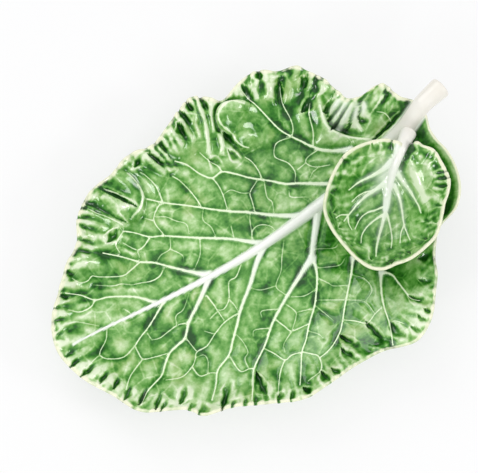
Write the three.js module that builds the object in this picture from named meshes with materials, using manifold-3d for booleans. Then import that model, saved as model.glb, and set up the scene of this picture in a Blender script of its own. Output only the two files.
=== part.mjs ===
// Cabbage leaf dish in glazed earthenware: a large ruffled leaf on an oval foot, with a stalk laid along it,
// and a small leaf bowl that stands on the leaf and is luted to it with slip.
// Millimetres, +Z up, +X from the leaf's tip to the cut end of its stalk. Places are given from a datum on the
// table under the middle of the leaf. The finished group is moved so that its origin is the middle of the whole
// object's footprint.
import * as THREE from "three";
import { mergeVertices } from "three/addons/utils/BufferGeometryUtils.js";
import Module from "manifold-3d";

const wasm = await Module();
wasm.setup();

// Fit between the pieces
const SEAT_GAP = 0.3; // clearance where one piece seats on another
const BED = 1.5; // depth to which a seated piece is bedded before its seat is cut

// Foot of the dish
const FOOT_HALF_LENGTH = 66;
const FOOT_HALF_WIDTH = 46;
const FOOT_WIDTH = 7;
const FOOT_HEIGHT = 6;
const FOOT_BEVEL = 1;

// Large leaf
const LEAF_HALF_LENGTH = 156; // of the oval that its lobes stand out from
const LEAF_HALF_WIDTH = 116;
const LEAF_RIM_HEIGHT = 30; // lowest rim above the table, at the middle of the wall
const LEAF_WALL = 5;
const LEAF_RIM_RISE = 18; // of the rim from the tip to the stalk
const LEAF_RIM_HIGH = 15; // bearing of the highest rim
const LEAF_STEEPNESS = 1.7; // power by which the side rises from floor to rim
const FLOOR_SHOULDER = 6; // flat floor outside the foot
const LOBE_FADE = 6; // power by which the lobes die away from the margin
// Bearing in degrees, how far the margin stands out from the oval, and its lift above the lowest rim
const LEAF_MARGIN = [
  [3, 3, 17], [8.5, 5, 16], [11.5, 1, 16], [13.5, 2, 16], [16, 4, 16], [18.3, 3, 15], [19.4, -2, 14],
  [20.4, -9, 13], [22, -13, 12], [24.5, -14.5, 11], [27, -11.5, 13], [30, -8, 14], [33.5, -3, 16], [38, 2, 15],
  [42, 7, 14], [49, 6, 11], [54, 9, 12], [57, 6, 13], [61, 0, 12], [68, -3, 8], [73, 3, 10], [78, 7, 12],
  [84, 3, 11], [93, -4, 9], [101, -7, 6], [106, -1, 8], [110, 0, 10], [118, -1, 8], [122, 3, 6], [128, 4, 8],
  [135, 2, 8], [143, -5, 5], [149, -2, 3], [157, 1, 2], [163, 6, 1], [171, 7, 0], [180, 1, 0], [190, -5, 0],
  [200, -5, 2], [207, -13, 1], [211, -15, 0], [217, -10, 2], [224, -14, 1], [240, -10, 2], [252, -4, 3],
  [263, -5, 5], [276, -7, 4], [286, 1, 3], [294, 13, 5], [301, 14, 6], [311, 5, 7], [316, 0, 7], [321, -6, 8],
  [326, -9, 9], [332, -7.5, 11], [335, 0.5, 17], [338, 3.5, 20], [341, 4.5, 21], [345, 4, 21], [349, 2.5, 21],
  [352, 1, 20], [356, -2, 20], [359, -1.5, 18],
];
// Furrows pressed in from the margin, between its ruffles, on these bearings in degrees
const LEAF_FURROWS = {
  bearings: [
    25, 38, 46, 57, 68, 76, 84, 100, 123, 134, 144, 154, 164, 174, 183, 191, 199, 208, 223, 237, 248, 261, 278,
    291, 304, 322,
  ],
  depth: 3,
  width: 11,
  inset: 11, // from the margin to where a furrow is deepest
  reach: 10, // from there to where it dies away
};
// Swollen folds in the blade: an outline in hundredths of the leaf's half-length and half-width, with its inside on
// the left, the lift, the width of the rounded edge, and the places where the swelling is full and where it is gone
const LEAF_SWELLS = [
  {
    outline: [[-34, 96], [-47, 93], [-52, 88], [-47, 76], [-40, 63], [-33, 64], [-28, 71], [-27, 79], [-29, 88]],
    high: 3.4,
    edge: 8,
    full: [-37, 75],
    gone: [-49, 92],
  },
  {
    outline: [
      [32, 87], [27, 89], [22, 85], [21, 80], [23, 74], [24, 67], [24, 62], [29, 58], [36, 58], [42, 67], [40, 77],
    ],
    high: 6,
    edge: 11,
    full: [25, 82],
    gone: [38, 66],
  },
];
// The fold beside the stalk: a ledge along this path, in the same hundredths, with its high side on the left and a
// pocket on its right
const LEAF_LEDGE = {
  path: [[79, 15], [72, 23], [67, 31], [63, 41], [64, 48], [66, 59]],
  high: 4,
  back: 8,
  pocket: 4,
};

// Side veins of the large leaf, from the midrib to the margin, in hundredths of its half-length and half-width
const VEIN_WIDTH = 3.6; // at the midrib
const VEIN_TIP_WIDTH = 1.6;
const VEIN_ROUNDNESS = 0.8; // height over width of a vein's section
const LEAF_VEINS = [
  [[-53, 15], [-69, 32], [-83, 45]],
  [[-26, 9], [-41, 34], [-59, 57]],
  [[4, 6], [-24, 40], [-46, 63]],
  [[26, 4], [1, 36], [-27, 68]],
  [[46, 3], [27, 35], [11, 58], [1, 72]],
  [[67, 5], [53, 37], [45, 58], [41, 82]],
  [[-49, 14], [-68, 0], [-87, -23]],
  [[-24, 9], [-45, -9], [-66, -24], [-83, -36]],
  [[4, 6], [-19, -20], [-38, -41], [-57, -59]],
  [[38, 3], [21, -22], [-11, -40], [-33, -59], [-42, -73]],
  [[21, -22], [12, -42], [-11, -67], [-21, -83]],
  [[40, -31], [19, -59], [-6, -78], [-12, -87]],
  [[41, -52], [31, -76], [24, -95]],
  [[45, -59], [44, -79], [49, -90]],
];

// Stalk of the large leaf: places in the same hundredths, and its width there
const STALK_ROUNDNESS = 0.92; // height over width of its section
const STALK_SUNK = 0.28; // share of its width that lies below the blade's surface
const STALK_PATH = [
  [-95.5, 20, 2.4], [-81, 19, 2.8], [-54.5, 14.5, 3.6], [-25, 9.5, 5], [4, 6, 6.2], [27.5, 4, 7.6], [42, 2.5, 8.4],
  [64, 4.5, 10.5], [82, 7.5, 12.5], [91, 8.5, 13.5], [98.5, 11, 14], [105, 13, 14.5], [114, 14.5, 16.5],
];
const STALK_END_ROUND = 2; // rounding of the cut end

// Small leaf bowl, with its middle placed in hundredths of the large leaf's half-length and half-width
const BOWL_ALONG = 56.5;
const BOWL_ACROSS = -28.5;
const BOWL_WALL = 4;
const BOWL_CLEARANCE = 1.5; // from the bowl's side to the large leaf that rises beside it
const BOWL_FLOOR_RADIUS = 15;
const BOWL_RIM_RADIUS = 46; // of the round that its lobes stand out from
const BOWL_DEPTH = 26; // from the middle of the floor's wall up to the lowest part of the rim
const BOWL_RIM_RISE = 9;
const BOWL_RIM_HIGH = 30;
const BOWL_STEEPNESS = 1.5;
const BOWL_MARGIN = [
  [4, 8, 10], [14, 10, 11], [23, 8.5, 10], [28, 9.5, 7], [35, 6, -2], [43, 5.5, 5], [51, 5.5, 9], [61, 5, 9],
  [77, 4, 9], [88, 3.5, 8], [101, 1, 7], [115, -1, 6], [130, -2, 5], [140, -2, 4], [151, -3, 3], [163, -5, 2],
  [184, -6.5, 2], [205, -4.5, 1], [220, -2, 0], [233, -2, 0], [247, -5, 1], [260, -5, 2], [281, -5, 3],
  [296, -3.5, 4], [311, -3.5, 5], [321, -3, 6], [330, -1.5, 7], [340, 3, 8], [349, 6.5, 8], [355, 7, 9],
];
const BOWL_FURROWS = {
  bearings: [0, 14, 64, 88, 112, 138, 163, 192, 222, 250, 278, 302, 324, 344],
  depth: 1.4,
  width: 8,
  inset: 8,
  reach: 6,
};
// Veins from the bowl's middle, in hundredths of its rim radius
const BOWL_VEIN_WIDTH = 3.6;
const BOWL_VEIN_TIP_WIDTH = 1.6;
const BOWL_VEINS = [
  [[35, 20], [0, -2], [-43, -43]],
  [[48, 33], [9, 46], [-26, 61]],
  [[41, 26], [-9, 28], [-57, 20]],
  [[35, 17], [22, -24], [0, -54]],
  [[48, 33], [52, -7], [43, -46]],
  [[59, 43], [83, 11], [93, -15]],
];

// Stalk of the small leaf: places in the bowl in the same hundredths, and its width there. It ends on the large
// stalk.
const SMALL_STALK_ROUNDNESS = 0.8;
const SMALL_STALK_SUNK = 0.2; // share of its width that lies below the bowl's surface
const SMALL_STALK_PATH = [[14, 7, 3.4], [35, 28, 4.8], [55, 46, 6], [75, 59, 7], [91, 70, 9.5]];
const SMALL_STALK_END_WIDTH = 12.5;
const SMALL_STALK_END_ROUND = 3;
const SMALL_STALK_REST = 0.8765; // where it ends, as a share of the large stalk's length
const SMALL_STALK_ASIDE = 4.9; // from the large stalk's middle line to its end
const SMALL_STALK_PRESSED = 0.3; // share of the large stalk's height that its end is pressed into
const SMALL_STALK_BEND = 6; // power by which it leaves the bowl for the large stalk

// Clay that joins the bowl to the large leaf
const BOWL_FOOT_RADIUS = 14;
const SLIP_RING_WIDTH = 5;
const SLIP_RING_HEIGHT = 4;
const SLIP_LUMP_LENGTH = 14; // of the lump that props the small stalk
const SLIP_LUMP_WIDTH = 11;

// Fineness of the facets
const OUTLINE_SAMPLES = 720;
const FOLD_SAMPLES = 24;
const LEAF_SPOKES = 126;
const LEAF_RINGS = 11;
const BOWL_SPOKES = 64;
const BOWL_RINGS = 6;
const RING_SPREAD = 0.5; // rings stand closer together towards the margin
const VEIN_SIDES = 5;
const VEIN_STEPS = 6;
const STALK_SIDES = 10;
const STALK_STEPS = 24;
const SMALL_STALK_STEPS = 14;
const FOOT_FACETS = 18;
const LUMP_SIDES = 12;
const PAD_SIDES = 24;
const PAD_RINGS = 3;
const SLOPE_STEP = 0.5; // distance over which a surface's slope is measured

const radians = THREE.MathUtils.degToRad;
const up = new THREE.Vector3(0, 0, 1);

// A closed skin from one pole, through rings of equally many points, to the other pole. Seen along the way from
// the first pole to the last, each ring runs anticlockwise.
function skin(firstPole, rings, lastPole) {
  const sides = rings[0].length;
  const points = [firstPole, ...rings.flat(), lastPole];
  const at = (ring, side) => 1 + ring * sides + (side % sides);
  const last = points.length - 1;
  const faces = [];
  for (let side = 0; side < sides; side++) {
    faces.push(0, at(0, side), at(0, side + 1));
    for (let ring = 0; ring + 1 < rings.length; ring++) {
      faces.push(at(ring, side), at(ring + 1, side), at(ring + 1, side + 1));
      faces.push(at(ring, side), at(ring + 1, side + 1), at(ring, side + 1));
    }
    faces.push(at(rings.length - 1, side), last, at(rings.length - 1, side + 1));
  }
  return new THREE.BufferGeometry().setFromPoints(points).setIndex(faces);
}

// A geometry as a solid that can be joined and cut.
function solidOf(geometry) {
  const bare = geometry.clone();
  bare.deleteAttribute("normal");
  bare.deleteAttribute("uv");
  const merged = mergeVertices(bare);
  return new wasm.Manifold(
    new wasm.Mesh({
      numProp: 3,
      vertProperties: new Float32Array(merged.attributes.position.array),
      triVerts: new Uint32Array(merged.index.array),
    }),
  );
}

// A solid as a geometry.
function geometryOf(solid) {
  const mesh = solid.getMesh();
  return new THREE.BufferGeometry()
    .setAttribute("position", new THREE.BufferAttribute(new Float32Array(mesh.vertProperties), 3))
    .setIndex(new THREE.BufferAttribute(new Uint32Array(mesh.triVerts), 1));
}

// Places in plan from hundredths of the large leaf's half-sizes, and of the bowl's rim radius.
const onLeaf = (along, across) => [(along / 100) * LEAF_HALF_LENGTH, (across / 100) * LEAF_HALF_WIDTH];
const [BOWL_X, BOWL_Y] = onLeaf(BOWL_ALONG, BOWL_ACROSS);
const inBowl = (x, y) => [BOWL_X + (x / 100) * BOWL_RIM_RADIUS, BOWL_Y + (y / 100) * BOWL_RIM_RADIUS];

function ovalReach(halfLength, halfWidth, bearing) {
  return 1 / Math.hypot(Math.cos(bearing) / halfLength, Math.sin(bearing) / halfWidth);
}

// The margin of a leaf: lobes that stand out from an oval, as a closed curve about its centre that carries the
// rim's height. The curve is the middle of the wall, so it lies half a wall inside the outline.
function marginCurve(stations, halfLength, halfWidth, wall, lowestRim) {
  const points = stations.map(([degrees, proud, lift]) => {
    const bearing = radians(degrees);
    const reach = ovalReach(halfLength, halfWidth, bearing) + proud - wall / 2;
    return new THREE.Vector3(reach * Math.cos(bearing), reach * Math.sin(bearing), lowestRim + lift);
  });
  return new THREE.CatmullRomCurve3(points, true, "centripetal");
}

// The reach and height of a margin on any bearing from its centre.
function marginReader(curve) {
  const turn = 2 * Math.PI;
  const samples = curve.getSpacedPoints(OUTLINE_SAMPLES).slice(0, OUTLINE_SAMPLES);
  const table = samples
    .map((p) => ({ bearing: (Math.atan2(p.y, p.x) + turn) % turn, reach: Math.hypot(p.x, p.y), height: p.z }))
    .sort((a, b) => a.bearing - b.bearing);
  return (bearing) => {
    const wanted = (bearing + turn) % turn;
    const found = table.findIndex((row) => row.bearing > wanted);
    const after = table[Math.max(found, 0)];
    const before = table[(found < 0 ? table.length : found || table.length) - 1];
    const span = (after.bearing - before.bearing + turn) % turn;
    const share = ((wanted - before.bearing + turn) % turn) / span;
    return {
      reach: THREE.MathUtils.lerp(before.reach, after.reach, share),
      height: THREE.MathUtils.lerp(before.height, after.height, share),
    };
  };
}

// A smooth path in plan through places on the large leaf.
function pathOnLeaf(places) {
  const points = places.map(([along, across]) => new THREE.Vector2(...onLeaf(along, across)));
  return new THREE.SplineCurve(points).getPoints(FOLD_SAMPLES);
}

// Distance of a place in plan from a path, positive on its left, and how far along the path it is, from 0 to 1.
function besidePath(path, x, y) {
  const place = new THREE.Vector2(x, y);
  let nearest = { beside: Infinity, along: 0 };
  for (let i = 0; i + 1 < path.length; i++) {
    const run = path[i + 1].clone().sub(path[i]);
    const away = place.clone().sub(path[i]);
    const share = THREE.MathUtils.clamp(away.dot(run) / run.lengthSq(), 0, 1);
    const distance = away.distanceTo(run.clone().multiplyScalar(share));
    if (distance < Math.abs(nearest.beside)) {
      const side = run.cross(away) < 0 ? -1 : 1;
      nearest = { beside: side * distance, along: (i + share) / (path.length - 1) };
    }
  }
  return nearest;
}

// How much a swollen fold lifts the blade at a place in plan.
function swell({ outline, high, edge, full, gone }) {
  const path = pathOnLeaf([...outline, outline[0]]);
  const strong = new THREE.Vector2(...onLeaf(...full));
  const fade = new THREE.Vector2(...onLeaf(...gone)).sub(strong);
  return (x, y) => {
    const share = new THREE.Vector2(x, y).sub(strong).dot(fade) / fade.lengthSq();
    const inside = THREE.MathUtils.smoothstep(besidePath(path, x, y).beside, -edge / 2, edge / 2);
    return high * inside * (1 - THREE.MathUtils.smoothstep(share, 0, 1));
  };
}

// How much a ledge, which dies out at both its ends, lifts the blade and its pocket sinks it.
function ledge({ path: places, high, back, pocket }) {
  const path = pathOnLeaf(places);
  return (x, y) => {
    const { beside, along } = besidePath(path, x, y);
    const step = THREE.MathUtils.smoothstep(beside, -back / 2, back / 2);
    const shelf = high * step * Math.exp(-((Math.max(beside, 0) / back) ** 2));
    const hollow = pocket * Math.exp(-(((2 * beside + back) / (1.4 * back)) ** 2));
    return Math.sin(Math.PI * along) * (shelf - hollow);
  };
}

// How deep the furrows of a margin sink the blade, on a bearing and at a distance in from the margin.
function furrowDepth({ bearings, depth, width, inset, reach }, bearing, fromCentre, fromMargin) {
  const band = Math.exp(-(((fromMargin - inset) / reach) ** 2));
  const near = bearings.map((degrees) => {
    const turn = Math.sin((bearing - radians(degrees)) / 2);
    return Math.exp(-(((4 * turn * fromCentre) / width) ** 2));
  });
  return depth * band * Math.max(...near);
}

// A leaf-shaped dish: a flat floor that rises to a ruffled margin. It gives the height of its wall's top and
// underside at any place in plan, the margin's curve, and its solid.
function leafShell(form) {
  const { x: centreX, y: centreY, curve, wall, floorHeight } = form;
  const marginAt = marginReader(curve);

  // The plain dish, before its lobes, furrows and folds.
  function plain(bearing, reach) {
    const flat = ovalReach(form.floorLong, form.floorWide, bearing);
    const full = ovalReach(form.halfLength, form.halfWidth, bearing);
    const rise = (form.rimRise * (1 + Math.cos(bearing - radians(form.rimHigh)))) / 2;
    const out = Math.max(reach - flat, 0) / (full - flat);
    return floorHeight + (form.rimHeight + rise - floorHeight) * out ** form.steepness;
  }

  function middle(x, y) {
    const bearing = Math.atan2(y - centreY, x - centreX);
    const edge = marginAt(bearing);
    const reach = Math.min(Math.hypot(x - centreX, y - centreY), edge.reach);
    const lobe = edge.height - plain(bearing, edge.reach);
    const height = plain(bearing, reach) + lobe * (reach / edge.reach) ** LOBE_FADE;
    const furrow = furrowDepth(form.furrows, bearing, reach, edge.reach - reach);
    return form.folds.reduce((sum, fold) => sum + fold(x, y), height - furrow);
  }

  function normal(x, y) {
    const slopeX = (middle(x + SLOPE_STEP, y) - middle(x - SLOPE_STEP, y)) / (2 * SLOPE_STEP);
    const slopeY = (middle(x, y + SLOPE_STEP) - middle(x, y - SLOPE_STEP)) / (2 * SLOPE_STEP);
    return new THREE.Vector3(-slopeX, -slopeY, 1).normalize();
  }

  const top = (x, y) => middle(x, y) + wall / 2 / normal(x, y).z;
  const under = (x, y) => middle(x, y) - wall / 2 / normal(x, y).z;

  // Rings at shares of the way from the centre to the margin, on its top and on its underside, with a blunt
  // lip. clearance makes every face stand out by that much, for cutting a neighbour's seat.
  function solid(clearance = 0) {
    const half = wall / 2 + clearance;
    const margin = curve.getSpacedPoints(form.spokes).slice(0, form.spokes);
    const inPlan = (p, share) => [centreX + p.x * share, centreY + p.y * share];
    const offset = (p, share, side) => {
      const [x, y] = inPlan(p, share);
      const inside = inPlan(p, Math.min(share, 1 - SLOPE_STEP / Math.hypot(p.x, p.y)));
      return new THREE.Vector3(x, y, middle(x, y)).addScaledVector(normal(...inside), side * half);
    };
    const shares = Array.from({ length: form.rings }, (_, ring) => ((ring + 1) / form.rings) ** RING_SPREAD);
    const topRings = shares.map((share) => margin.map((p) => offset(p, share, 1)));
    const underRings = shares.map((share) => margin.map((p) => offset(p, share, -1))).reverse();
    const lip = margin.map((p) => {
      const [x, y] = inPlan(p, 1);
      const outwards = new THREE.Vector3(p.x, p.y, 0).setLength(half);
      return new THREE.Vector3(x, y, middle(x, y)).add(outwards);
    });
    const pole = (side) => new THREE.Vector3(centreX, centreY, middle(centreX, centreY) + side * half);
    return solidOf(skin(pole(1), [...topRings, lip, ...underRings], pole(-1)));
  }

  return { top, under, solid };
}

// A rod of oval section along a curve whose z holds its width. seat gives the height of its underside at a place in
// plan, for its width there. Its ends are rounded by endRound, or by half its height where it is thinner.
function rod({ curve, steps, sides, roundness, seat, endRound, grow = 0 }) {
  const stations = curve.getSpacedPoints(steps);
  const centres = stations.map((p) => {
    const height = p.z * roundness;
    return new THREE.Vector3(p.x, p.y, seat(p.x, p.y, p.z) + height / 2);
  });
  const rounding = (p) => Math.min(endRound, (p.z * roundness) / 2);
  const rings = stations.map((p, step) => {
    const ahead = centres[Math.min(step + 1, steps)];
    const behind = centres[Math.max(step - 1, 0)];
    const along = ahead.clone().sub(behind).normalize();
    const left = up.clone().cross(along).normalize();
    const over = along.clone().cross(left);
    const narrowing = step === 0 || step === steps ? rounding(p) : 0;
    const halfWidth = p.z / 2 + grow - narrowing / 2;
    const halfHeight = (p.z * roundness) / 2 + grow - narrowing / 2;
    return Array.from({ length: sides }, (_, side) => {
      const angle = (2 * Math.PI * side) / sides;
      return centres[step]
        .clone()
        .addScaledVector(left, -halfWidth * Math.cos(angle))
        .addScaledVector(over, halfHeight * Math.sin(angle));
    });
  });
  const tip = (end, next) => {
    const outwards = centres[end].clone().sub(centres[next]).setLength(rounding(stations[end]) / 2);
    return centres[end].clone().add(outwards);
  };
  return solidOf(skin(tip(0, 1), rings, tip(steps, steps - 1)));
}

// A curve through points of a rod's path, each a place in plan and a width.
function pathCurve(points) {
  const path = points.map((p) => new THREE.Vector3(...p));
  return new THREE.CatmullRomCurve3(path, false, "centripetal");
}

// A vein in relief: a tapering rod with half its height above the shell.
function vein(points, width, tipWidth, shell) {
  const last = points.length - 1;
  const path = points.map(([x, y], i) => [x, y, THREE.MathUtils.lerp(width, tipWidth, i / last)]);
  return rod({
    curve: pathCurve(path),
    steps: VEIN_STEPS,
    sides: VEIN_SIDES,
    roundness: VEIN_ROUNDNESS,
    seat: (x, y, localWidth) => shell.top(x, y) - (VEIN_ROUNDNESS * localWidth) / 2,
    endRound: tipWidth / 2,
  });
}

// A shell with its veins in relief, kept clear of the stalk that they run to.
function veined(shellSolid, veins, stalkEnvelope) {
  return veins.reduce((sum, one) => sum.add(one.subtract(stalkEnvelope)), shellSolid);
}

// A round plug between two surfaces, given as heights in plan.
function plug(x, y, radius, low, high) {
  const ringAt = (share, height) =>
    Array.from({ length: PAD_SIDES }, (_, side) => {
      const angle = (2 * Math.PI * side) / PAD_SIDES;
      const px = x + radius * share * Math.cos(angle);
      const py = y + radius * share * Math.sin(angle);
      return new THREE.Vector3(px, py, height(px, py));
    });
  const shares = Array.from({ length: PAD_RINGS }, (_, ring) => (ring + 1) / PAD_RINGS);
  const rings = [...shares.map((s) => ringAt(s, high)), ...shares.map((s) => ringAt(s, low)).reverse()];
  return solidOf(skin(new THREE.Vector3(x, y, high(x, y)), rings, new THREE.Vector3(x, y, low(x, y))));
}

// A fillet of slip round the foot of a plug, as a ring of three-cornered section.
function slipRing(x, y, innerRadius, width, height, seat) {
  const ringAt = (radius, lift) =>
    Array.from({ length: PAD_SIDES }, (_, side) => {
      const angle = (2 * Math.PI * side) / PAD_SIDES;
      const px = x + radius * Math.cos(angle);
      const py = y + radius * Math.sin(angle);
      return new THREE.Vector3(px, py, seat(px, py) + lift);
    });
  const rings = [ringAt(innerRadius, -BED), ringAt(innerRadius, height), ringAt(innerRadius + width, -BED)];
  const faces = [];
  const at = (ring, side) => (ring % rings.length) * PAD_SIDES + (side % PAD_SIDES);
  for (let ring = 0; ring < rings.length; ring++) {
    for (let side = 0; side < PAD_SIDES; side++) {
      faces.push(at(ring, side), at(ring + 1, side), at(ring + 1, side + 1));
      faces.push(at(ring, side), at(ring + 1, side + 1), at(ring, side + 1));
    }
  }
  return solidOf(new THREE.BufferGeometry().setFromPoints(rings.flat()).setIndex(faces));
}

// The large leaf
const largeShell = leafShell({
  x: 0,
  y: 0,
  curve: marginCurve(LEAF_MARGIN, LEAF_HALF_LENGTH, LEAF_HALF_WIDTH, LEAF_WALL, LEAF_RIM_HEIGHT),
  floorLong: FOOT_HALF_LENGTH + FLOOR_SHOULDER,
  floorWide: FOOT_HALF_WIDTH + FLOOR_SHOULDER,
  floorHeight: FOOT_HEIGHT + SEAT_GAP + LEAF_WALL / 2,
  halfLength: LEAF_HALF_LENGTH,
  halfWidth: LEAF_HALF_WIDTH,
  rimHeight: LEAF_RIM_HEIGHT,
  rimRise: LEAF_RIM_RISE,
  rimHigh: LEAF_RIM_HIGH,
  wall: LEAF_WALL,
  steepness: LEAF_STEEPNESS,
  furrows: LEAF_FURROWS,
  folds: [...LEAF_SWELLS.map(swell), ledge(LEAF_LEDGE)],
  spokes: LEAF_SPOKES,
  rings: LEAF_RINGS,
});
const leafSeat = largeShell.solid(SEAT_GAP);

// Its stalk, bedded in the blade and then cut clear of it
const stalk = {
  curve: pathCurve(STALK_PATH.map(([along, across, width]) => [...onLeaf(along, across), width])),
  steps: STALK_STEPS,
  sides: STALK_SIDES,
  roundness: STALK_ROUNDNESS,
  seat: (x, y, width) => largeShell.top(x, y) - STALK_SUNK * width,
  endRound: STALK_END_ROUND,
};
const stalkSeat = rod({ ...stalk, grow: SEAT_GAP });
const largeStalk = rod(stalk).subtract(leafSeat);
const largeVeins = LEAF_VEINS.map((points) => {
  const places = points.map(([along, across]) => onLeaf(along, across));
  return vein(places, VEIN_WIDTH, VEIN_TIP_WIDTH, largeShell);
});
const largeLeaf = veined(largeShell.solid(), largeVeins, stalkSeat);

// The small leaf bowl
const bowlForm = {
  x: BOWL_X,
  y: BOWL_Y,
  floorLong: BOWL_FLOOR_RADIUS,
  floorWide: BOWL_FLOOR_RADIUS,
  halfLength: BOWL_RIM_RADIUS,
  halfWidth: BOWL_RIM_RADIUS,
  rimRise: BOWL_RIM_RISE,
  rimHigh: BOWL_RIM_HIGH,
  wall: BOWL_WALL,
  steepness: BOWL_STEEPNESS,
  furrows: BOWL_FURROWS,
  folds: [],
  spokes: BOWL_SPOKES,
  rings: BOWL_RINGS,
};
function bowlAt(floorHeight) {
  const rimHeight = floorHeight + BOWL_DEPTH;
  const curve = marginCurve(BOWL_MARGIN, BOWL_RIM_RADIUS, BOWL_RIM_RADIUS, BOWL_WALL, rimHeight);
  return leafShell({ ...bowlForm, floorHeight, rimHeight, curve });
}

// Its floor stands as low as leaves its clearance to the large leaf everywhere under it.
const grounded = bowlAt(0);
const standing = Array.from({ length: BOWL_SPOKES * BOWL_RINGS }, (_, i) => {
  const bearing = (2 * Math.PI * i) / BOWL_SPOKES;
  const reach = (BOWL_RIM_RADIUS * (1 + Math.floor(i / BOWL_SPOKES))) / BOWL_RINGS;
  const x = BOWL_X + reach * Math.cos(bearing);
  const y = BOWL_Y + reach * Math.sin(bearing);
  return largeShell.top(x, y) - grounded.under(x, y);
});
const bowlShell = bowlAt(Math.max(...standing) + BOWL_CLEARANCE);
const bowlSeat = bowlShell.solid(SEAT_GAP);

// Its stalk, which lies in the bowl, passes over the rim and comes down on the large stalk
const rest = stalk.curve.getPointAt(SMALL_STALK_REST);
const restAway = stalk.curve.getTangentAt(SMALL_STALK_REST).setZ(0).normalize().cross(up);
const restEnd = rest.clone().addScaledVector(restAway, SMALL_STALK_ASIDE);
const restHeight = stalk.seat(rest.x, rest.y, rest.z) + (1 - SMALL_STALK_PRESSED) * STALK_ROUNDNESS * rest.z;
const smallPath = SMALL_STALK_PATH.map(([x, y, width]) => [...inBowl(x, y), width]);
const smallStart = smallPath[0];
const smallReach = Math.hypot(restEnd.x - smallStart[0], restEnd.y - smallStart[1]);
const smallStalkForm = {
  curve: pathCurve([...smallPath, [restEnd.x, restEnd.y, SMALL_STALK_END_WIDTH]]),
  steps: SMALL_STALK_STEPS,
  sides: STALK_SIDES,
  roundness: SMALL_STALK_ROUNDNESS,
  seat: (x, y, width) => {
    const share = Math.hypot(x - smallStart[0], y - smallStart[1]) / smallReach;
    const lying = bowlShell.top(x, y) - SMALL_STALK_SUNK * width;
    return THREE.MathUtils.lerp(lying, restHeight, share ** SMALL_STALK_BEND);
  },
  endRound: SMALL_STALK_END_ROUND,
};
const smallStalkSeat = rod({ ...smallStalkForm, grow: SEAT_GAP });
const smallStalk = rod(smallStalkForm).subtract(bowlSeat).subtract(stalkSeat);
const bowlVeins = BOWL_VEINS.map((points) => {
  const places = points.map(([x, y]) => inBowl(x, y));
  return vein(places, BOWL_VEIN_WIDTH, BOWL_VEIN_TIP_WIDTH, bowlShell);
});
const smallBowl = veined(bowlShell.solid(), bowlVeins, smallStalkSeat);

// The clay that joins them
const bowlFoot = plug(
  BOWL_X,
  BOWL_Y,
  BOWL_FOOT_RADIUS,
  (x, y) => largeShell.top(x, y) - BED,
  (x, y) => bowlShell.under(x, y) + BED,
)
  .subtract(leafSeat)
  .subtract(bowlSeat);
const slipFillet = slipRing(
  BOWL_X,
  BOWL_Y,
  BOWL_FOOT_RADIUS + SEAT_GAP,
  SLIP_RING_WIDTH,
  SLIP_RING_HEIGHT,
  largeShell.top,
)
  .subtract(leafSeat)
  .subtract(bowlSeat);
const [rimX, rimY, rimWidth] = smallPath.at(-1);
const lumpX = (rimX + restEnd.x) / 2;
const lumpY = (rimY + restEnd.y) / 2;
const lumpLow = largeShell.top(lumpX, lumpY) - BED;
const lumpHigh = smallStalkForm.seat(lumpX, lumpY, rimWidth) + BED;
const slipLump = solidOf(
  new THREE.SphereGeometry(1 / 2, LUMP_SIDES, LUMP_SIDES / 2)
    .rotateX(Math.PI / 2)
    .scale(SLIP_LUMP_LENGTH, SLIP_LUMP_WIDTH, lumpHigh - lumpLow)
    .translate(lumpX, lumpY, (lumpLow + lumpHigh) / 2),
)
  .subtract(smallStalkSeat)
  .subtract(stalkSeat)
  .subtract(bowlSeat)
  .subtract(leafSeat);

// The oval foot ring that the dish stands on
function footRing() {
  const shape = new THREE.Shape().absellipse(0, 0, FOOT_HALF_LENGTH, FOOT_HALF_WIDTH, 0, 2 * Math.PI);
  const hole = new THREE.Path();
  hole.absellipse(0, 0, FOOT_HALF_LENGTH - FOOT_WIDTH, FOOT_HALF_WIDTH - FOOT_WIDTH, 0, 2 * Math.PI);
  shape.holes.push(hole);
  return new THREE.ExtrudeGeometry(shape, {
    depth: FOOT_HEIGHT - 2 * FOOT_BEVEL,
    bevelThickness: FOOT_BEVEL,
    bevelSize: FOOT_BEVEL,
    bevelOffset: -FOOT_BEVEL,
    bevelSegments: 1,
    curveSegments: FOOT_FACETS,
  }).translate(0, 0, FOOT_BEVEL);
}

const greenGlaze = new THREE.MeshStandardMaterial({ color: 0x4f9040, roughness: 0.18 });
const creamGlaze = new THREE.MeshStandardMaterial({ color: 0xf3efe4, roughness: 0.22 });
const bareClay = new THREE.MeshStandardMaterial({ color: 0xe6dcc8, roughness: 0.7 });

const dish = new THREE.Group();
const layout = new THREE.Group();
dish.add(layout);

function piece(name, geometry, material) {
  const mesh = new THREE.Mesh(geometry, material);
  mesh.name = name;
  layout.add(mesh);
}

piece("large_leaf", geometryOf(largeLeaf), greenGlaze);
piece("large_stalk", geometryOf(largeStalk), creamGlaze);
piece("foot_ring", footRing(), bareClay);
piece("small_leaf_bowl", geometryOf(smallBowl), greenGlaze);
piece("small_stalk", geometryOf(smallStalk), creamGlaze);
piece("bowl_foot", geometryOf(bowlFoot), greenGlaze);
piece("bowl_slip_fillet", geometryOf(slipFillet), greenGlaze);
piece("stalk_slip_lump", geometryOf(slipLump), creamGlaze);

// The origin: the middle of the footprint, on the table
const box = new THREE.Box3().setFromObject(layout);
const middle = box.getCenter(new THREE.Vector3());
layout.position.set(-middle.x, -middle.y, -box.min.z);

export default dish;
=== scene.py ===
import math

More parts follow.
